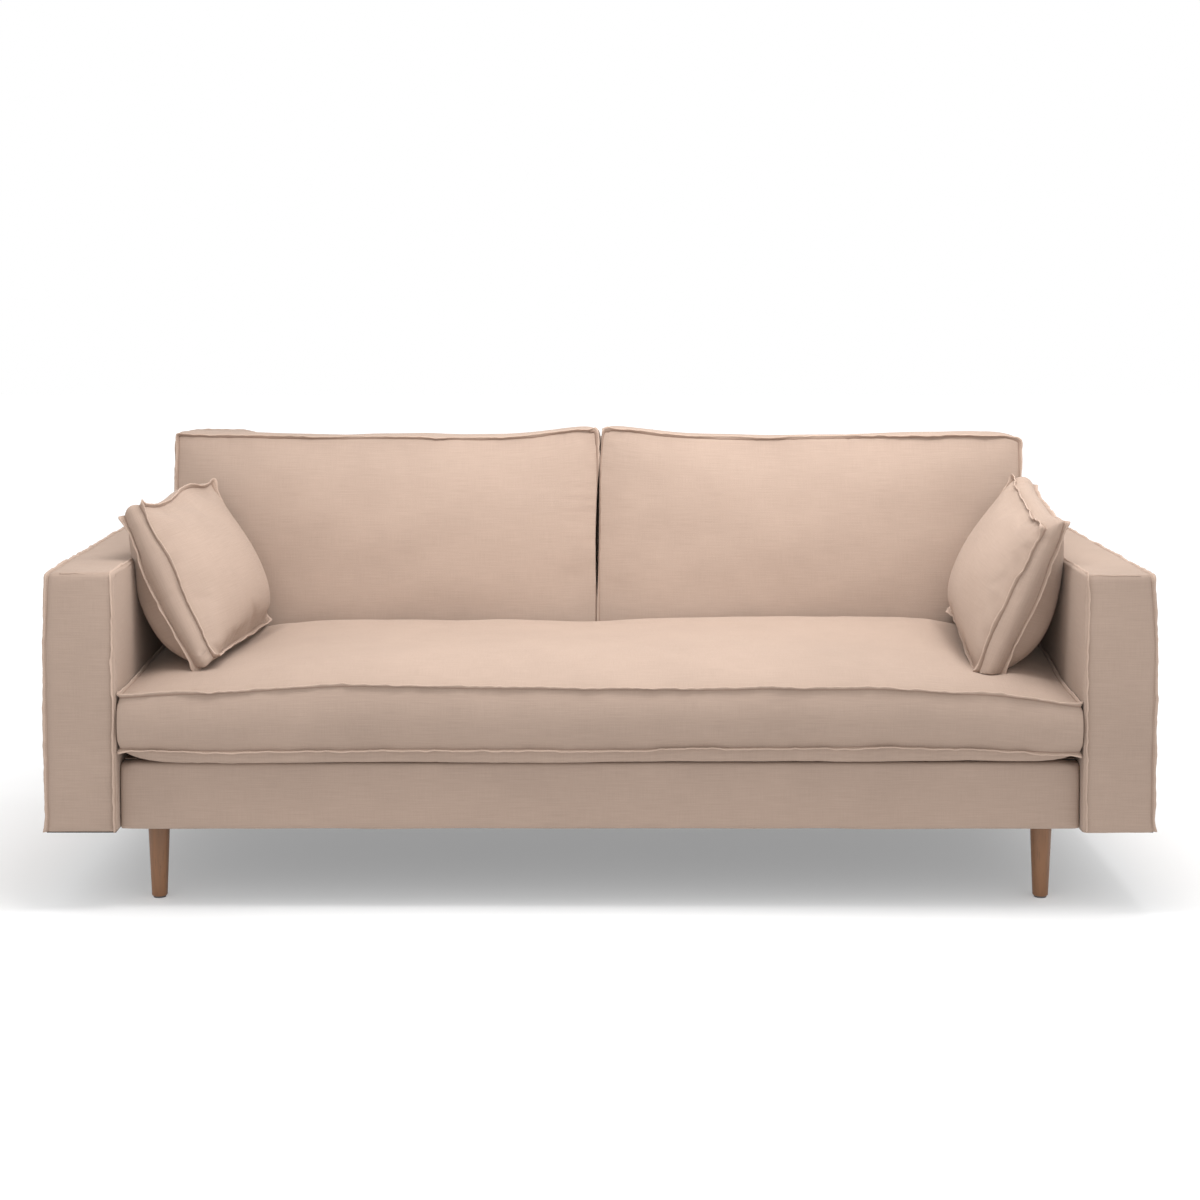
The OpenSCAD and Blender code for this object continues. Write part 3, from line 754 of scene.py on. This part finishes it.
def zip_piece(node, body, start, end, normal):
    """A closed zip: two rows of teeth on their tape, between two turned edges of the cover."""
    tape, coil, hem = range(3)
    start, end, normal = (np.array(v, float) for v in (start, end, normal))
    length = np.linalg.norm(end - start)
    along = (end - start) / length
    across = np.cross(along, normal)
    points, faces, kinds, uvs = [], [], [], []

    def block(s0, s1, c0, c1, h0, h1, kind, taper=0.0):
        """A block from s0 to s1 along the zip, c0 to c1 across it and h0 to h1 above it, narrower at its top."""
        first = len(points)
        for s, c, h in ((s0, c0, h0), (s1, c0, h0), (s1, c1, h0), (s0, c1, h0),
                        (s0 + taper, c0 + taper, h1), (s1 - taper, c0 + taper, h1),
                        (s1 - taper, c1 - taper, h1), (s0 + taper, c1 - taper, h1)):
            points.append(start + along * s + across * c + normal * h)
        for quad in ((0, 3, 2, 1), (4, 5, 6, 7), (0, 1, 5, 4), (1, 2, 6, 5), (2, 3, 7, 6), (3, 0, 4, 7)):
            faces.append(tuple(first + k for k in quad))
            kinds.append(kind)
            uvs.extend([(s0, 0.004), (s1, 0.004), (s1, 0.006), (s0, 0.006)])

    block(0, length, -0.0070, 0.0070, -0.0012, -0.0004, tape)
    pitch, tooth, stagger = 0.0017, 0.0014, 0.0005
    for i in range(int(length / pitch)):
        shift = stagger if i % 2 else -stagger
        block(i * pitch, i * pitch + tooth, shift - 0.0018, shift + 0.0018, -0.0006, 0.0005, coil, taper=0.0003)
    bands = max(1, int(length / 0.01))
    for c0, c1 in ((-0.0104, -0.0062), (0.0062, 0.0104)):
        for i in range(bands):
            block(i * length / bands, (i + 1) * length / bands, c0, c1, -0.0016, 0.0013, hem)
    ob = new_object(f"{node}_made", points, faces, MATERIALS["zip_tape"], uvs, smooth=False)
    ob.data.materials.append(MATERIALS["zip_coil"])
    ob.data.materials.append(MATERIALS["seam"])
    ob.data.polygons.foreach_set("material_index", kinds)
    place_piece(ob, body, "zip_tape", node)


def beside_middle(side, z0, z1):
    """Keeps a back cushion on its own side of the line where the two meet, which leans and opens a little."""
    def limit(points):
        up = part((points[:, 2] - z0) / (z1 - z0))
        line = -0.007 + 0.011 * up ** 5
        # half the gap, which is widest at five eighths of the height
        gap = 0.0006 + 0.0034 * np.maximum(1 - ((up - 0.63) / 0.26) ** 2, 0)
        points = points.copy()
        points[:, 0] = side * np.maximum(side * points[:, 0], side * line + gap)
        return points
    return limit


def dented_by(zip_line, depth, crown_z=0.40, reach=0.12, soft=0.004):
    """Presses a trough into a cushion's top, above crown_z, under the zip along a throw cushion's lower side.

    depth is how far below the zip the trough goes, reach how far to each side, and soft rounds its edges."""
    start, end = (np.array(v, float) for v in zip_line[:2])
    along = end - start

    def limit(points):
        t = np.clip(((points - start)[:, :2] @ along[:2]) / (along[:2] @ along[:2]), 0, 1.2)
        over = start + t[:, None] * along
        away = np.hypot(*(points - over)[:, :2].T)
        ceiling = over[:, 2] - depth + 0.020 * (away / 0.06) ** 2
        pressed = (points[:, 2] > crown_z) & (away < reach)
        points = points.copy()
        points[pressed, 2] -= soft * np.logaddexp(0, (points[pressed, 2] - ceiling[pressed]) / soft)
        return points
    return limit


def seat_cushion():
    """One long boxed cushion, crowned, higher at the rear and sunk a little at its ends."""
    low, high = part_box("seat_cushion_cover")
    bottom_seam, top_seam = DECK + 0.030, DECK + 0.146
    half = (high[0], (high[1] - low[1]) / 2 - 0.004, (top_seam - bottom_seam) / 2)
    centre = (0, (low[1] + high[1]) / 2, (top_seam + bottom_seam) / 2)
    reach = ARM_IN - 0.002
    sides = clamp((-reach, None, None), (reach, high[1] + 0.004, None))
    border_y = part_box("front_border_cover")[0][1]

    def limit(points):
        """The underside lies on the platform, and sags only in front of the border."""
        points = sides(points)
        floor = np.where(points[:, 1] < border_y - 0.004, low[2] - 0.014, low[2])
        points[:, 2] = np.maximum(points[:, 2], floor)
        return points

    def shape(u, v, w, x, y, z):
        # the top is higher at the rear, and its seam sinks toward the ends
        rear_rise = 0.038 + np.where(u > 0, 0.0205, 0.006) * u - 0.012 * np.abs(u / 0.8) ** 4
        rear_rise = rear_rise - 0.005 * bell((u + 0.02) / 0.13)
        rear_rise = rear_rise * (v + 1) / 2
        crowned = (z - half[2]) / 0.040 * (w > 0.999)
        end = part((np.abs(u) - 0.45) / 0.55) ** 2.4
        sink = end * np.where(u > 0, 0.032, 0.015) - 0.008 * bell((u + 0.5) / 0.18)
        sink = sink * np.where(u > 0, part(0.65 * (1 - v)), ((1 - v) / 2) ** 1.5)
        # the crown rolls over at the rear, and hides the rear seam
        roll = (0.0115 + 0.022 * np.clip(-u - 0.35, 0, 0.3)) * bell((v - 0.86) / 0.35)
        roll = roll * (1 - part(np.abs(u) / 0.85) ** 8)
        roll = roll - 0.020 * part(v) ** 24
        z = z + (w + 1) / 2 * (rear_rise - sink + roll) - rear_rise * crowned
        # the lower seam rises and falls a little
        z = z + (1 - w) / 2 * (0.006 * bell((u - 0.45) / 0.4) - 0.008 * part(u) ** 8)
        # the bottom panel is flat on the platform, and rolls up to the seam near its edges
        x = x + 0.004 * np.sign(u) * np.abs(u) ** 40
        edge = np.sqrt(np.maximum((1 - np.abs(u) ** 20) * (1 - np.abs(v) ** 12), 0))
        z = np.where(w < -0.999, z + (-half[2] - 0.031 - z) * edge, z)
        lip = bell(((1 + v) * half[1] - 0.010) / 0.008) * (1 - np.abs(u) ** 20) * (w < -0.999)
        y = y - 0.004 * lip
        z = z - 0.013 * lip
        return x, y, z

    return Cushion("seat_cushion_cloth", "seat_cushion", centre, [(1, 0, 0), (0, 1, 0), (0, 0, 1)], half,
                   crown=(0.040, 0.0), power=(3.0, 3.2), pull=(0.0, 0.004), bulge=0.013, cell=0.0105,
                   boxing_rows=12, seed=3, replaces=("seat_cushion_cover", "seat_cushion_core"), fill=0.85,
                   shape=shape, limit=limit, zip_line=zip_line_of("seat_cushion_zip", (0, 1, 0)))


RAKE = 5.3              # how far the back leans, in degrees
BACK_FOOT_Y = 0.2580    # where the back's front face meets the level of the deck


def back_cushion(side, seed):
    """A raked cushion between an arm and the middle. side is -1 for the left one and 1 for the right one."""
    name = SIDES[side]
    low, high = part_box(f"back_cushion_{name}_cover")
    rake = math.radians(RAKE)
    up = np.array([0, math.sin(rake), math.cos(rake)])
    out = np.array([0, -math.cos(rake), math.sin(rake)])
    thick = 0.118
    rear_foot = np.array([0, BACK_FOOT_Y - 0.0024, low[2]])
    half = ((high[0] - low[0]) / 2 - 0.0005, (high[2] - low[2]) / 2 - 0.008, thick / 2)
    centre = rear_foot + up * (half[1] + 0.006) + out * (thick / 2 + 0.007)
    centre[0] = (low[0] + high[0]) / 2
    back_plane = half_space(rear_foot, out)
    box = all_of(clamp((None, None, low[2])), beside_middle(side, low[2], high[2]))

    def shape(u, v, w, x, y, z):
        # inner runs from 0 at the arm to 1 at the sofa's middle, where the top is highest
        inner = 0.5 - 0.5 * side * u
        lift = 0.032 * inner ** 9 + 0.0065 * ease((0.8 - inner) / 0.4) - 0.004 * (1 - inner) ** 8
        if side > 0:
            lift = lift - 0.014 * (1 - inner) ** 40
            x = x - 0.007 * inner ** 8 * (1 - part(v) ** 5)
        y = y + lift * part(v) ** 3
        # the inner top corner is round
        corner = (inner * part(v)) ** 26
        y = y - 0.020 * corner
        x = x + 0.009 * side * corner
        # the outer side stands out a little above the arm
        x = x + (0.010 - 0.003 * side) * side * (1 - inner) ** 8 * ease((v - 0.30) / 0.30)
        return x, y, z

    return Cushion(f"back_cushion_{name}_cloth", f"back_cushion_{name}", centre, [(1, 0, 0), up, out], half,
                   crown=(0.036, 0.006), power=(3.0, 2.6), pull=(-0.005, 0.006), bulge=0.011, cell=0.0105,
                   boxing_rows=12, seed=seed, fill=0.7, limit=all_of(box, back_plane), shape=shape,
                   zip_line=zip_line_of(f"back_cushion_{name}_zip", (0, 0, -1)),
                   replaces=(f"back_cushion_{name}_cover", f"back_cushion_{name}_filling"))


THROW_SAG = 0.30        # how far below the middle a throw cushion is fullest, as a part of half its height


def throw_cushion(side, centre, turn, seed, slump, bow, peak, zip_front):
    """A small plump cushion that leans on an arm. turn is its turn in degrees about X, then Y, then Z.

    slump moves corners, each named by its rear, top and inner signs, up and inward by so many metres.
    bow is how far the front side hangs toward the arm, peak how far the filling pushes the top up at the rear.
    zip_front is how far the zip runs forward of the middle."""
    name = SIDES[side]
    about_x, about_y, about_z = (Matrix.Rotation(math.radians(a), 3, axis) for a, axis in zip(turn, "XYZ"))
    turned = about_z @ about_y @ about_x
    # the front panel faces the seat's middle
    along, up, out = (np.array(turned @ Vector(way)) for way in ((0, -side, 0), (0, 0, 1), (-side, 0, 0)))
    half = (0.218, 0.165, 0.029)
    zip_rear, zip_down = 0.140, 0.1675
    u_rear = -side
    zip_ends = [centre + along * (u_rear * end) - up * zip_down for end in (zip_rear, -zip_front)]

    def shape(u, v, w, x, y, z):
        # the rear side is pushed out by the filling, the lower one by the cushion's weight
        low_v = v + THROW_SAG * (1 - v ** 2)
        x = x + u_rear * 0.044 * part(u * u_rear) ** 2 * (1 - low_v ** 2)
        y = y - 0.012 * part(-v) ** 3 * (1 - u ** 2)
        # the panel against the arm is full right up to its front and rear seams
        z = z - 0.058 * (1 - np.abs(u) ** 6) * (1 - np.abs(low_v) ** 2.3) * (w < -0.999)
        front = part(-u * u_rear)
        z = z - bow * (1 - 0.28 * w) * front ** 1.5 * (1 - v ** 2) * (1 - 0.3 * v)
        z = z + bow * part(u * u_rear) * (1 - np.abs(u) ** 6) * (1 - low_v ** 2) * (w > 0.999)
        y = y + (0.7 + 0.3 * w) * peak * bell((u * u_rear - 0.25) / 0.50) * part(v) ** 4
        # the corners have slumped
        for (cu, cv, cw), (up_by, out_by) in slump.items():
            weight = (1 + cu * u_rear * u) ** 2 * (1 + cv * v) ** 2 * (1 + cw * np.clip(w, -1, 1)) / 32
            y = y + up_by * weight
            z = z + out_by * weight
        return x, y, z

    return Cushion(f"throw_cushion_{name}_cloth", f"throw_cushion_{name}", centre, [along, up, out], half,
                   crown=(0.055, 0.0), power=(2.3, 2.3), pull=(0.012, 0.010), bulge=0.012, cell=0.0085,
                   boxing_rows=8, seed=seed, fill=0.75, swell=0.010, shape=shape, pucker=0.0034, sag=THROW_SAG,
                   ear=1.9, ripple=(0.0034, 0.07), zip_line=(*zip_ends, -up),
                   replaces=(f"throw_{name}_cover", f"throw_{name}_filling"))


# ---------------------------------------------------------------- upholstered frame

def solid(name, convexes, voxel, rounds):
    """One closed cloth skin over convex solids, each a list of corner points. Smoothing rounds its edges."""
    bm = bmesh.new()
    for corners in convexes:
        bmesh.ops.convex_hull(bm, input=[bm.verts.new(p) for p in corners])
    me = bpy.data.meshes.new(name)
    bm.to_mesh(me)
    bm.free()
    ob = bpy.data.objects.new(name, me)
    scene.collection.objects.link(ob)
    remesh = ob.modifiers.new("remesh", "REMESH")
    remesh.mode = "VOXEL"
    remesh.voxel_size = voxel
    apply_modifier(ob, "remesh")
    smooth = ob.modifiers.new("smooth", "SMOOTH")
    smooth.iterations = rounds
    smooth.factor = 0.5
    apply_modifier(ob, "smooth")
    ob.data.materials.clear()
    ob.data.materials.append(MATERIALS["cloth"])
    ob.data.polygons.foreach_set("use_smooth", [True] * len(ob.data.polygons))
    return ob


def box_uvs(ob):
    """Cloth coordinates in metres from the way each face looks, along the surface."""
    me = ob.data
    layer = me.uv_layers.new(name="cloth")
    points = read_points(me)
    out = []
    for poly in me.polygons:
        n = [abs(c) for c in poly.normal]
        axis = n.index(max(n))
        a, b = ((1, 2), (0, 2), (0, 1))[axis]
        for v in poly.vertices:
            out.append((points[v][a] + 0.37 * axis, points[v][b]))
    layer.data.foreach_set("uv", np.asarray(out, np.float32).ravel())


def prism(x0, x1, outline):
    """Corners of a prism along X with a (y, z) outline."""
    return [(x, y, z) for x in (x0, x1) for y, z in outline]


def undulate(ob, seed, amount):
    """Shallow unevenness of padding under cloth. It only stands out, so that nothing behind shows."""
    points, normals = read_points(ob.data), read_normals(ob.data)
    shift = (1 + field(points, seed, 0.20)) * amount + field(points, seed + 4, 0.07) * amount * 0.35
    write_points(ob.data, points + normals * np.maximum(shift, 0)[:, None])


BACK_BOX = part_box("back_cover")


def back_front(z):
    """Y of the back's front face at height z."""
    return BACK_FOOT_Y + (z - DECK) * math.tan(math.radians(RAKE))


def fix_cover(ob, floor_z, *nodes, hem=0.0035):
    """Finishes a fixed cover, and lets it stand for its CAD nodes.

    The middle of its underside is raised by the hem, so that a dust cloth closes it and its edge hangs round that."""
    points, normals = read_points(ob.data), read_normals(ob.data)
    flat = (points[:, 2] < floor_z + hem + 0.0005) & (normals[:, 2] < -0.9)
    points[flat, 2] = np.maximum(points[flat, 2], floor_z + hem)
    write_points(ob.data, points)
    box_uvs(ob)
    place_piece(ob, "frame", "upholstery", *nodes)


def arm(side):
    """An arm's cover. Behind the back's front face it is only as wide as the part that stands outside the back."""
    name = SIDES[side]
    plump, rear_drop = (0.007, 0.0) if side < 0 else (0.003, 0.010)
    low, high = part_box(f"{name}_arm_cover")
    y0, y1, z0, z1 = low[1], high[1], low[2], high[2] + plump
    inner, step, outer = ARM_IN, BACK_BOX[1][0] + 0.001, (high[0] if side > 0 else -low[0]) - 0.004
    slab = prism(side * step, side * outer, [(y0, z0), (y1, z0), (y1, z1), (y0, z1)])
    inside = prism(side * inner, side * (step + 0.02),
                   [(y0, z0), (back_front(z0) - 0.001, z0), (back_front(z1) - 0.001, z1), (y0, z1)])
    ob = solid(f"{name}_arm_cloth", [slab, inside], voxel=0.0065, rounds=5)
    seed = 20 + side
    undulate(ob, seed, 0.0016)

    def taper(points):
        """The outer side leans in a little at the top and covers the dust cloth's edge at the foot.

        The right arm's top is lower at the rear."""
        top_zone, foot_zone = 0.16, 0.018
        high_up = part((points[:, 2] - z1 + top_zone) / top_zone) ** 2
        low_down = part((z0 + foot_zone - points[:, 2]) / foot_zone)
        outward = part((side * points[:, 0] - inner) / (outer - inner))
        points[:, 0] += side * (0.0035 * low_down * outward ** 4 - 0.008 * high_up * outward)
        points[:, 2] -= rear_drop * high_up * part((points[:, 1] - y0) / (y1 - y0))
        return points

    reshape(ob, clamp((None, None, z0)), taper, half_space((side * inner, 0, 0), (side, 0, 0)))
    fix_cover(ob, z0, f"{name}_arm_cover", f"{name}_arm_padding")
    add_arm_seams(name, side, (inner, outer), (y0, y1), (z0, z1), taper, seed)
    return ob


def add_arm_seams(name, side, xs, ys, zs, taper, seed):
    """Three seams: up the front and back along the top on both sides of the arm, and across its front edge."""
    (inner, outer), (y0, y1), (z0, z1) = xs, ys, zs
    e, bend = 0.0035, 0.012     # how deep the seams' lines lie, and the radius that they turn a corner on
    front, top = y0 + e, z1 - e

    def squashed(points):
        """The inner seam keeps off the cushions, and lies flat under a throw cushion."""
        points = half_space((side * (inner - 0.0012), 0, 0), (side, 0, 0))(points)
        behind = points[:, 1] > y0 + 0.10
        points[behind, 2] = np.minimum(points[behind, 2], z1 + 0.002)
        return points

    def add_seam(label, x, rear_y, lean, forward, seed, limit=None):
        """lean is how far the seam points to its side, forward how far it points ahead at the arm's front."""
        path = [(front, z, -forward, 0) for z in np.arange(z0 + 0.002, z1 - bend, 0.02)]
        path += [(front + bend * (1 - math.cos(a)), top - bend * (1 - math.sin(a)),
                  -forward * math.cos(a), 0.6 * math.sin(a)) for a in np.radians([15, 45, 75])]
        path += [(y, top, 0, 0.6) for y in np.arange(front + 0.016, rear_y, 0.02)]
        if label == "outer":
            path += [(rear_y, z, forward, 0) for z in np.arange(z1 - bend, z0, -0.02)]
        line = np.array([(side * x, y, z) for y, z, _, _ in path])
        ways = np.array([(side * lean, ny, nz) for _, _, ny, nz in path])
        flange(f"{name}_arm_seam_{label}", taper(line), unit(ways), "frame", seed, closed=False, limp=0.3,
               height=0.0095, ears=[(side * x, front, top)], ear_height=1.3, limit=limit)

    add_seam("outer", outer - e, y1 - e, lean=1.0, forward=0.45, seed=seed + 1)
    add_seam("inner", inner + e, back_front(z1) - 0.004, lean=0.35, forward=0.9, seed=seed - 1, limit=squashed)
    across = np.arange(inner + bend, outer - 0.016, 0.01)
    line = taper(np.array([(side * x, y0 + 0.0045, top) for x in across]))
    flange(f"{name}_arm_seam_front", line, [(0, -0.7, 0.7)] * len(line), "frame", seed + 5, closed=False, limp=0.5,
           height=0.0034, thickness=0.0016)


def back_line(half, z0, z1, place):
    """A seam up one end of the back, over its top and down the other. place(z) is its Y at a height."""
    r = 0.014       # the radius of the back's upper corners
    ends = [(half, z, 1, 0) for z in np.arange(z0, z1 - r, 0.02)]
    ends += [(half - r + r * math.cos(a), z1 - r + r * math.sin(a), math.cos(a), math.sin(a))
             for a in np.radians([15, 45, 75])]
    top = [(x, z1, 0, 1) for x in np.arange(half - r - 0.01, -half + r, -0.02)]
    both = ends + top + [(-x, z, -nx, nz) for x, z, nx, nz in reversed(ends)]
    return [(x, place(z), z) for x, z, nx, nz in both], [(nx, nz) for x, z, nx, nz in both]


def back_rest():
    """The fixed back's cover, which leans at the front and stands upright at the rear."""
    (_, _, z0), (half, y1, z1) = BACK_BOX
    outline = [(back_front(z0), z0), (y1, z0), (y1, z1), (back_front(z1), z1)]
    ob = solid("back_cloth", [prism(-half, half, outline)], voxel=0.0075, rounds=5)
    undulate(ob, 31, 0.0018)

    def rise(points):
        """The back's top is padded higher at its ends, the left one most, and the right end is narrower."""
        left = ease((-points[:, 0] - half + 0.195) / 0.065)
        right = ease((points[:, 0] - half + 0.13) / 0.08)
        shift = 0.007 * left - 0.009 * (1 - left) * (1 - 0.45 * right)
        points[:, 2] += shift * part((points[:, 2] - z1 + 0.10) / 0.10)
        free = part((points[:, 2] - z1 + 0.17) / 0.06)
        points[:, 0] -= 0.008 * free * part(points[:, 0] / half) ** 8
        return points

    reshape(ob, clamp((None, None, z0)), rise)
    fix_cover(ob, z0, "back_cover", "back_padding")
    e = 0.003       # how deep the seams' lines lie
    arm_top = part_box("left_arm_cover")[1][2]
    for label, place, way, foot in (("front", lambda z: back_front(z) + e, -1, arm_top + 0.004),
                                    ("rear", lambda z: y1 - e, 1, z0 + 0.002)):
        line, ways = back_line(half - e, foot, z1 - e, place)
        line = rise(np.array(line))
        ways = unit(np.array([(nx, way, nz) for nx, nz in ways], float))
        flange(f"back_seam_{label}", line, ways, "frame", 33 + way, closed=False, limp=0.3, height=0.007)


def front_border():
    """The padded rail under the seat, with its upper corners rounded and a shoulder that runs in behind the arms."""
    low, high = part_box("front_border_cover")
    r = 0.030       # the radius of the upper corners
    corner = [(low[0] + r - r * math.sin(a), high[2] - r + r * math.cos(a)) for a in np.radians(range(0, 91, 15))]
    outline = [(low[0], low[2]), *corner[::-1]]
    outline += [(-x, z) for x, z in reversed(outline)]
    points = [(x, y, z) for y in (low[1], high[1]) for x, z in outline]
    y0, z1 = low[1] + 0.007, high[2] - 0.004
    shoulder = prism(low[0] - 0.012, high[0] + 0.012, [(y0, low[2]), (high[1], low[2]), (high[1], z1), (y0, z1)])
    ob = solid("front_border_cloth", [points, shoulder], voxel=0.006, rounds=9)
    undulate(ob, 41, 0.0012)
    reshape(ob, clamp((low[0], None, low[2]), (high[0], None, high[2])))
    fix_cover(ob, low[2], "front_border_cover", "front_border_padding")


# ---------------------------------------------------------------- carried-over CAD nodes

def dress_nodes():
    """Gives every CAD node that stays the material of its slot."""
    slots = {row["node"]: row["material_slot"] for row in frame["record"]["subparts"]}
    for name, ob in frame["nodes"].items():
        me = ob.data
        me.materials.clear()
        me.materials.append(MATERIALS[slots[name]])
        if slots[name] == "leg_wood":
            round_side = [abs(face.normal.z) < 0.9 for face in me.polygons]
            me.polygons.foreach_set("use_smooth", round_side)


def make_materials():
    """The materials by their slots' names, and three more for the cloth pieces and the zips."""
    return {
        "cloth": cloth_material("rose_cloth", ROSE),
        # the seams' cloth is the same fabric, painted lighter than the rest as a highlight along the seams' edges
        "seam": cloth_material("rose_seam", tone(ROSE, 1.22), stitched=True),
        "upholstery": grainy_material("rose_backing", ROSE, 0.0012, 0.0003),
        "deck_cloth": grainy_material("deck_cloth", (0.42, 0.31, 0.245), 0.0014, 0.0003, stretch=(1, 3, 1)),
        "leg_wood": wood_material("leg_wood", (0.215, 0.096, 0.039), 0.38),
        "frame_timber": wood_material("frame_timber", (0.52, 0.35, 0.19), 0.55, grain=(3.0, 30.0, 30.0)),
        "hardboard": grainy_material("hardboard", (0.19, 0.105, 0.06), 0.002, 0.0002, 0.7),
        "foam": grainy_material("foam", (0.78, 0.70, 0.50), 0.0018, 0.0012),
        "wadding": grainy_material("wadding", (0.80, 0.80, 0.78), 0.006, 0.003),
        "webbing": webbing_material(),
        "felt": grainy_material("felt", (0.10, 0.10, 0.10), 0.0012, 0.0006),
        "dust_cloth": grainy_material("dust_cloth", (0.012, 0.012, 0.013), 0.0015, 0.0005, spread=0.35),
        "zinc_steel": grainy_material("zinc_steel", (0.62, 0.62, 0.60), 0.0012, 0.0001, 0.35, 1.0, 0.08),
        "zip_tape": grainy_material("zip_tape", (0.38, 0.28, 0.22), 0.0009, 0.0002, stretch=(1, 4, 1)),
        "zip_coil": grainy_material("zip_coil", (0.30, 0.22, 0.175), 0.0006, 0.0001, 0.45),
        "zip_metal": grainy_material("zip_metal", (0.50, 0.47, 0.43), 0.0008, 0.0001, 0.32, 1.0, 0.1),
    }


add_camera()
add_studio()
add_floor()
MATERIALS = make_materials()
dress_nodes()

cushions = [
    seat_cushion(),
    back_cushion(-1, 5),
    back_cushion(1, 6),
    throw_cushion(-1, (-0.832, -0.125, 0.618), (-1, -24.6, -5.8), 7, bow=0.0125, peak=0.026, zip_front=0.200,
                  slump={(1, -1, 1): (0.001, -0.014), (-1, -1, 1): (-0.007, -0.006),
                         (-1, -1, -1): (-0.014, 0.015), (-1, 1, 1): (0.008, -0.020)}),
    throw_cushion(1, (0.850, -0.125, 0.625), (4.9, 24, 2), 8, bow=0.002, peak=0.0, zip_front=0.150,
                  slump={(-1, 1, 1): (-0.033, -0.008), (1, 1, 1): (-0.003, -0.016),
                         (-1, -1, 1): (-0.035, -0.010), (-1, 1, -1): (-0.006, 0.026),
                         (-1, -1, -1): (-0.026, 0.009), (1, -1, 1): (-0.006, -0.023)}),
]
simulate(cushions)
arms = [arm(-1), arm(1)]
back_rest()
front_border()
seat, left_back, right_back, left_throw, right_throw = cushions
seat.limit = all_of(seat.limit, dented_by(left_throw.zip_line, 0.0065), dented_by(right_throw.zip_line, 0.016))
for one in cushions:
    one.wander()
for one in (seat, left_back, right_back):
    one.finish()
left_throw.finish([arms[0], seat.obj, left_back.obj])
right_throw.finish([arms[1], seat.obj, right_back.obj])
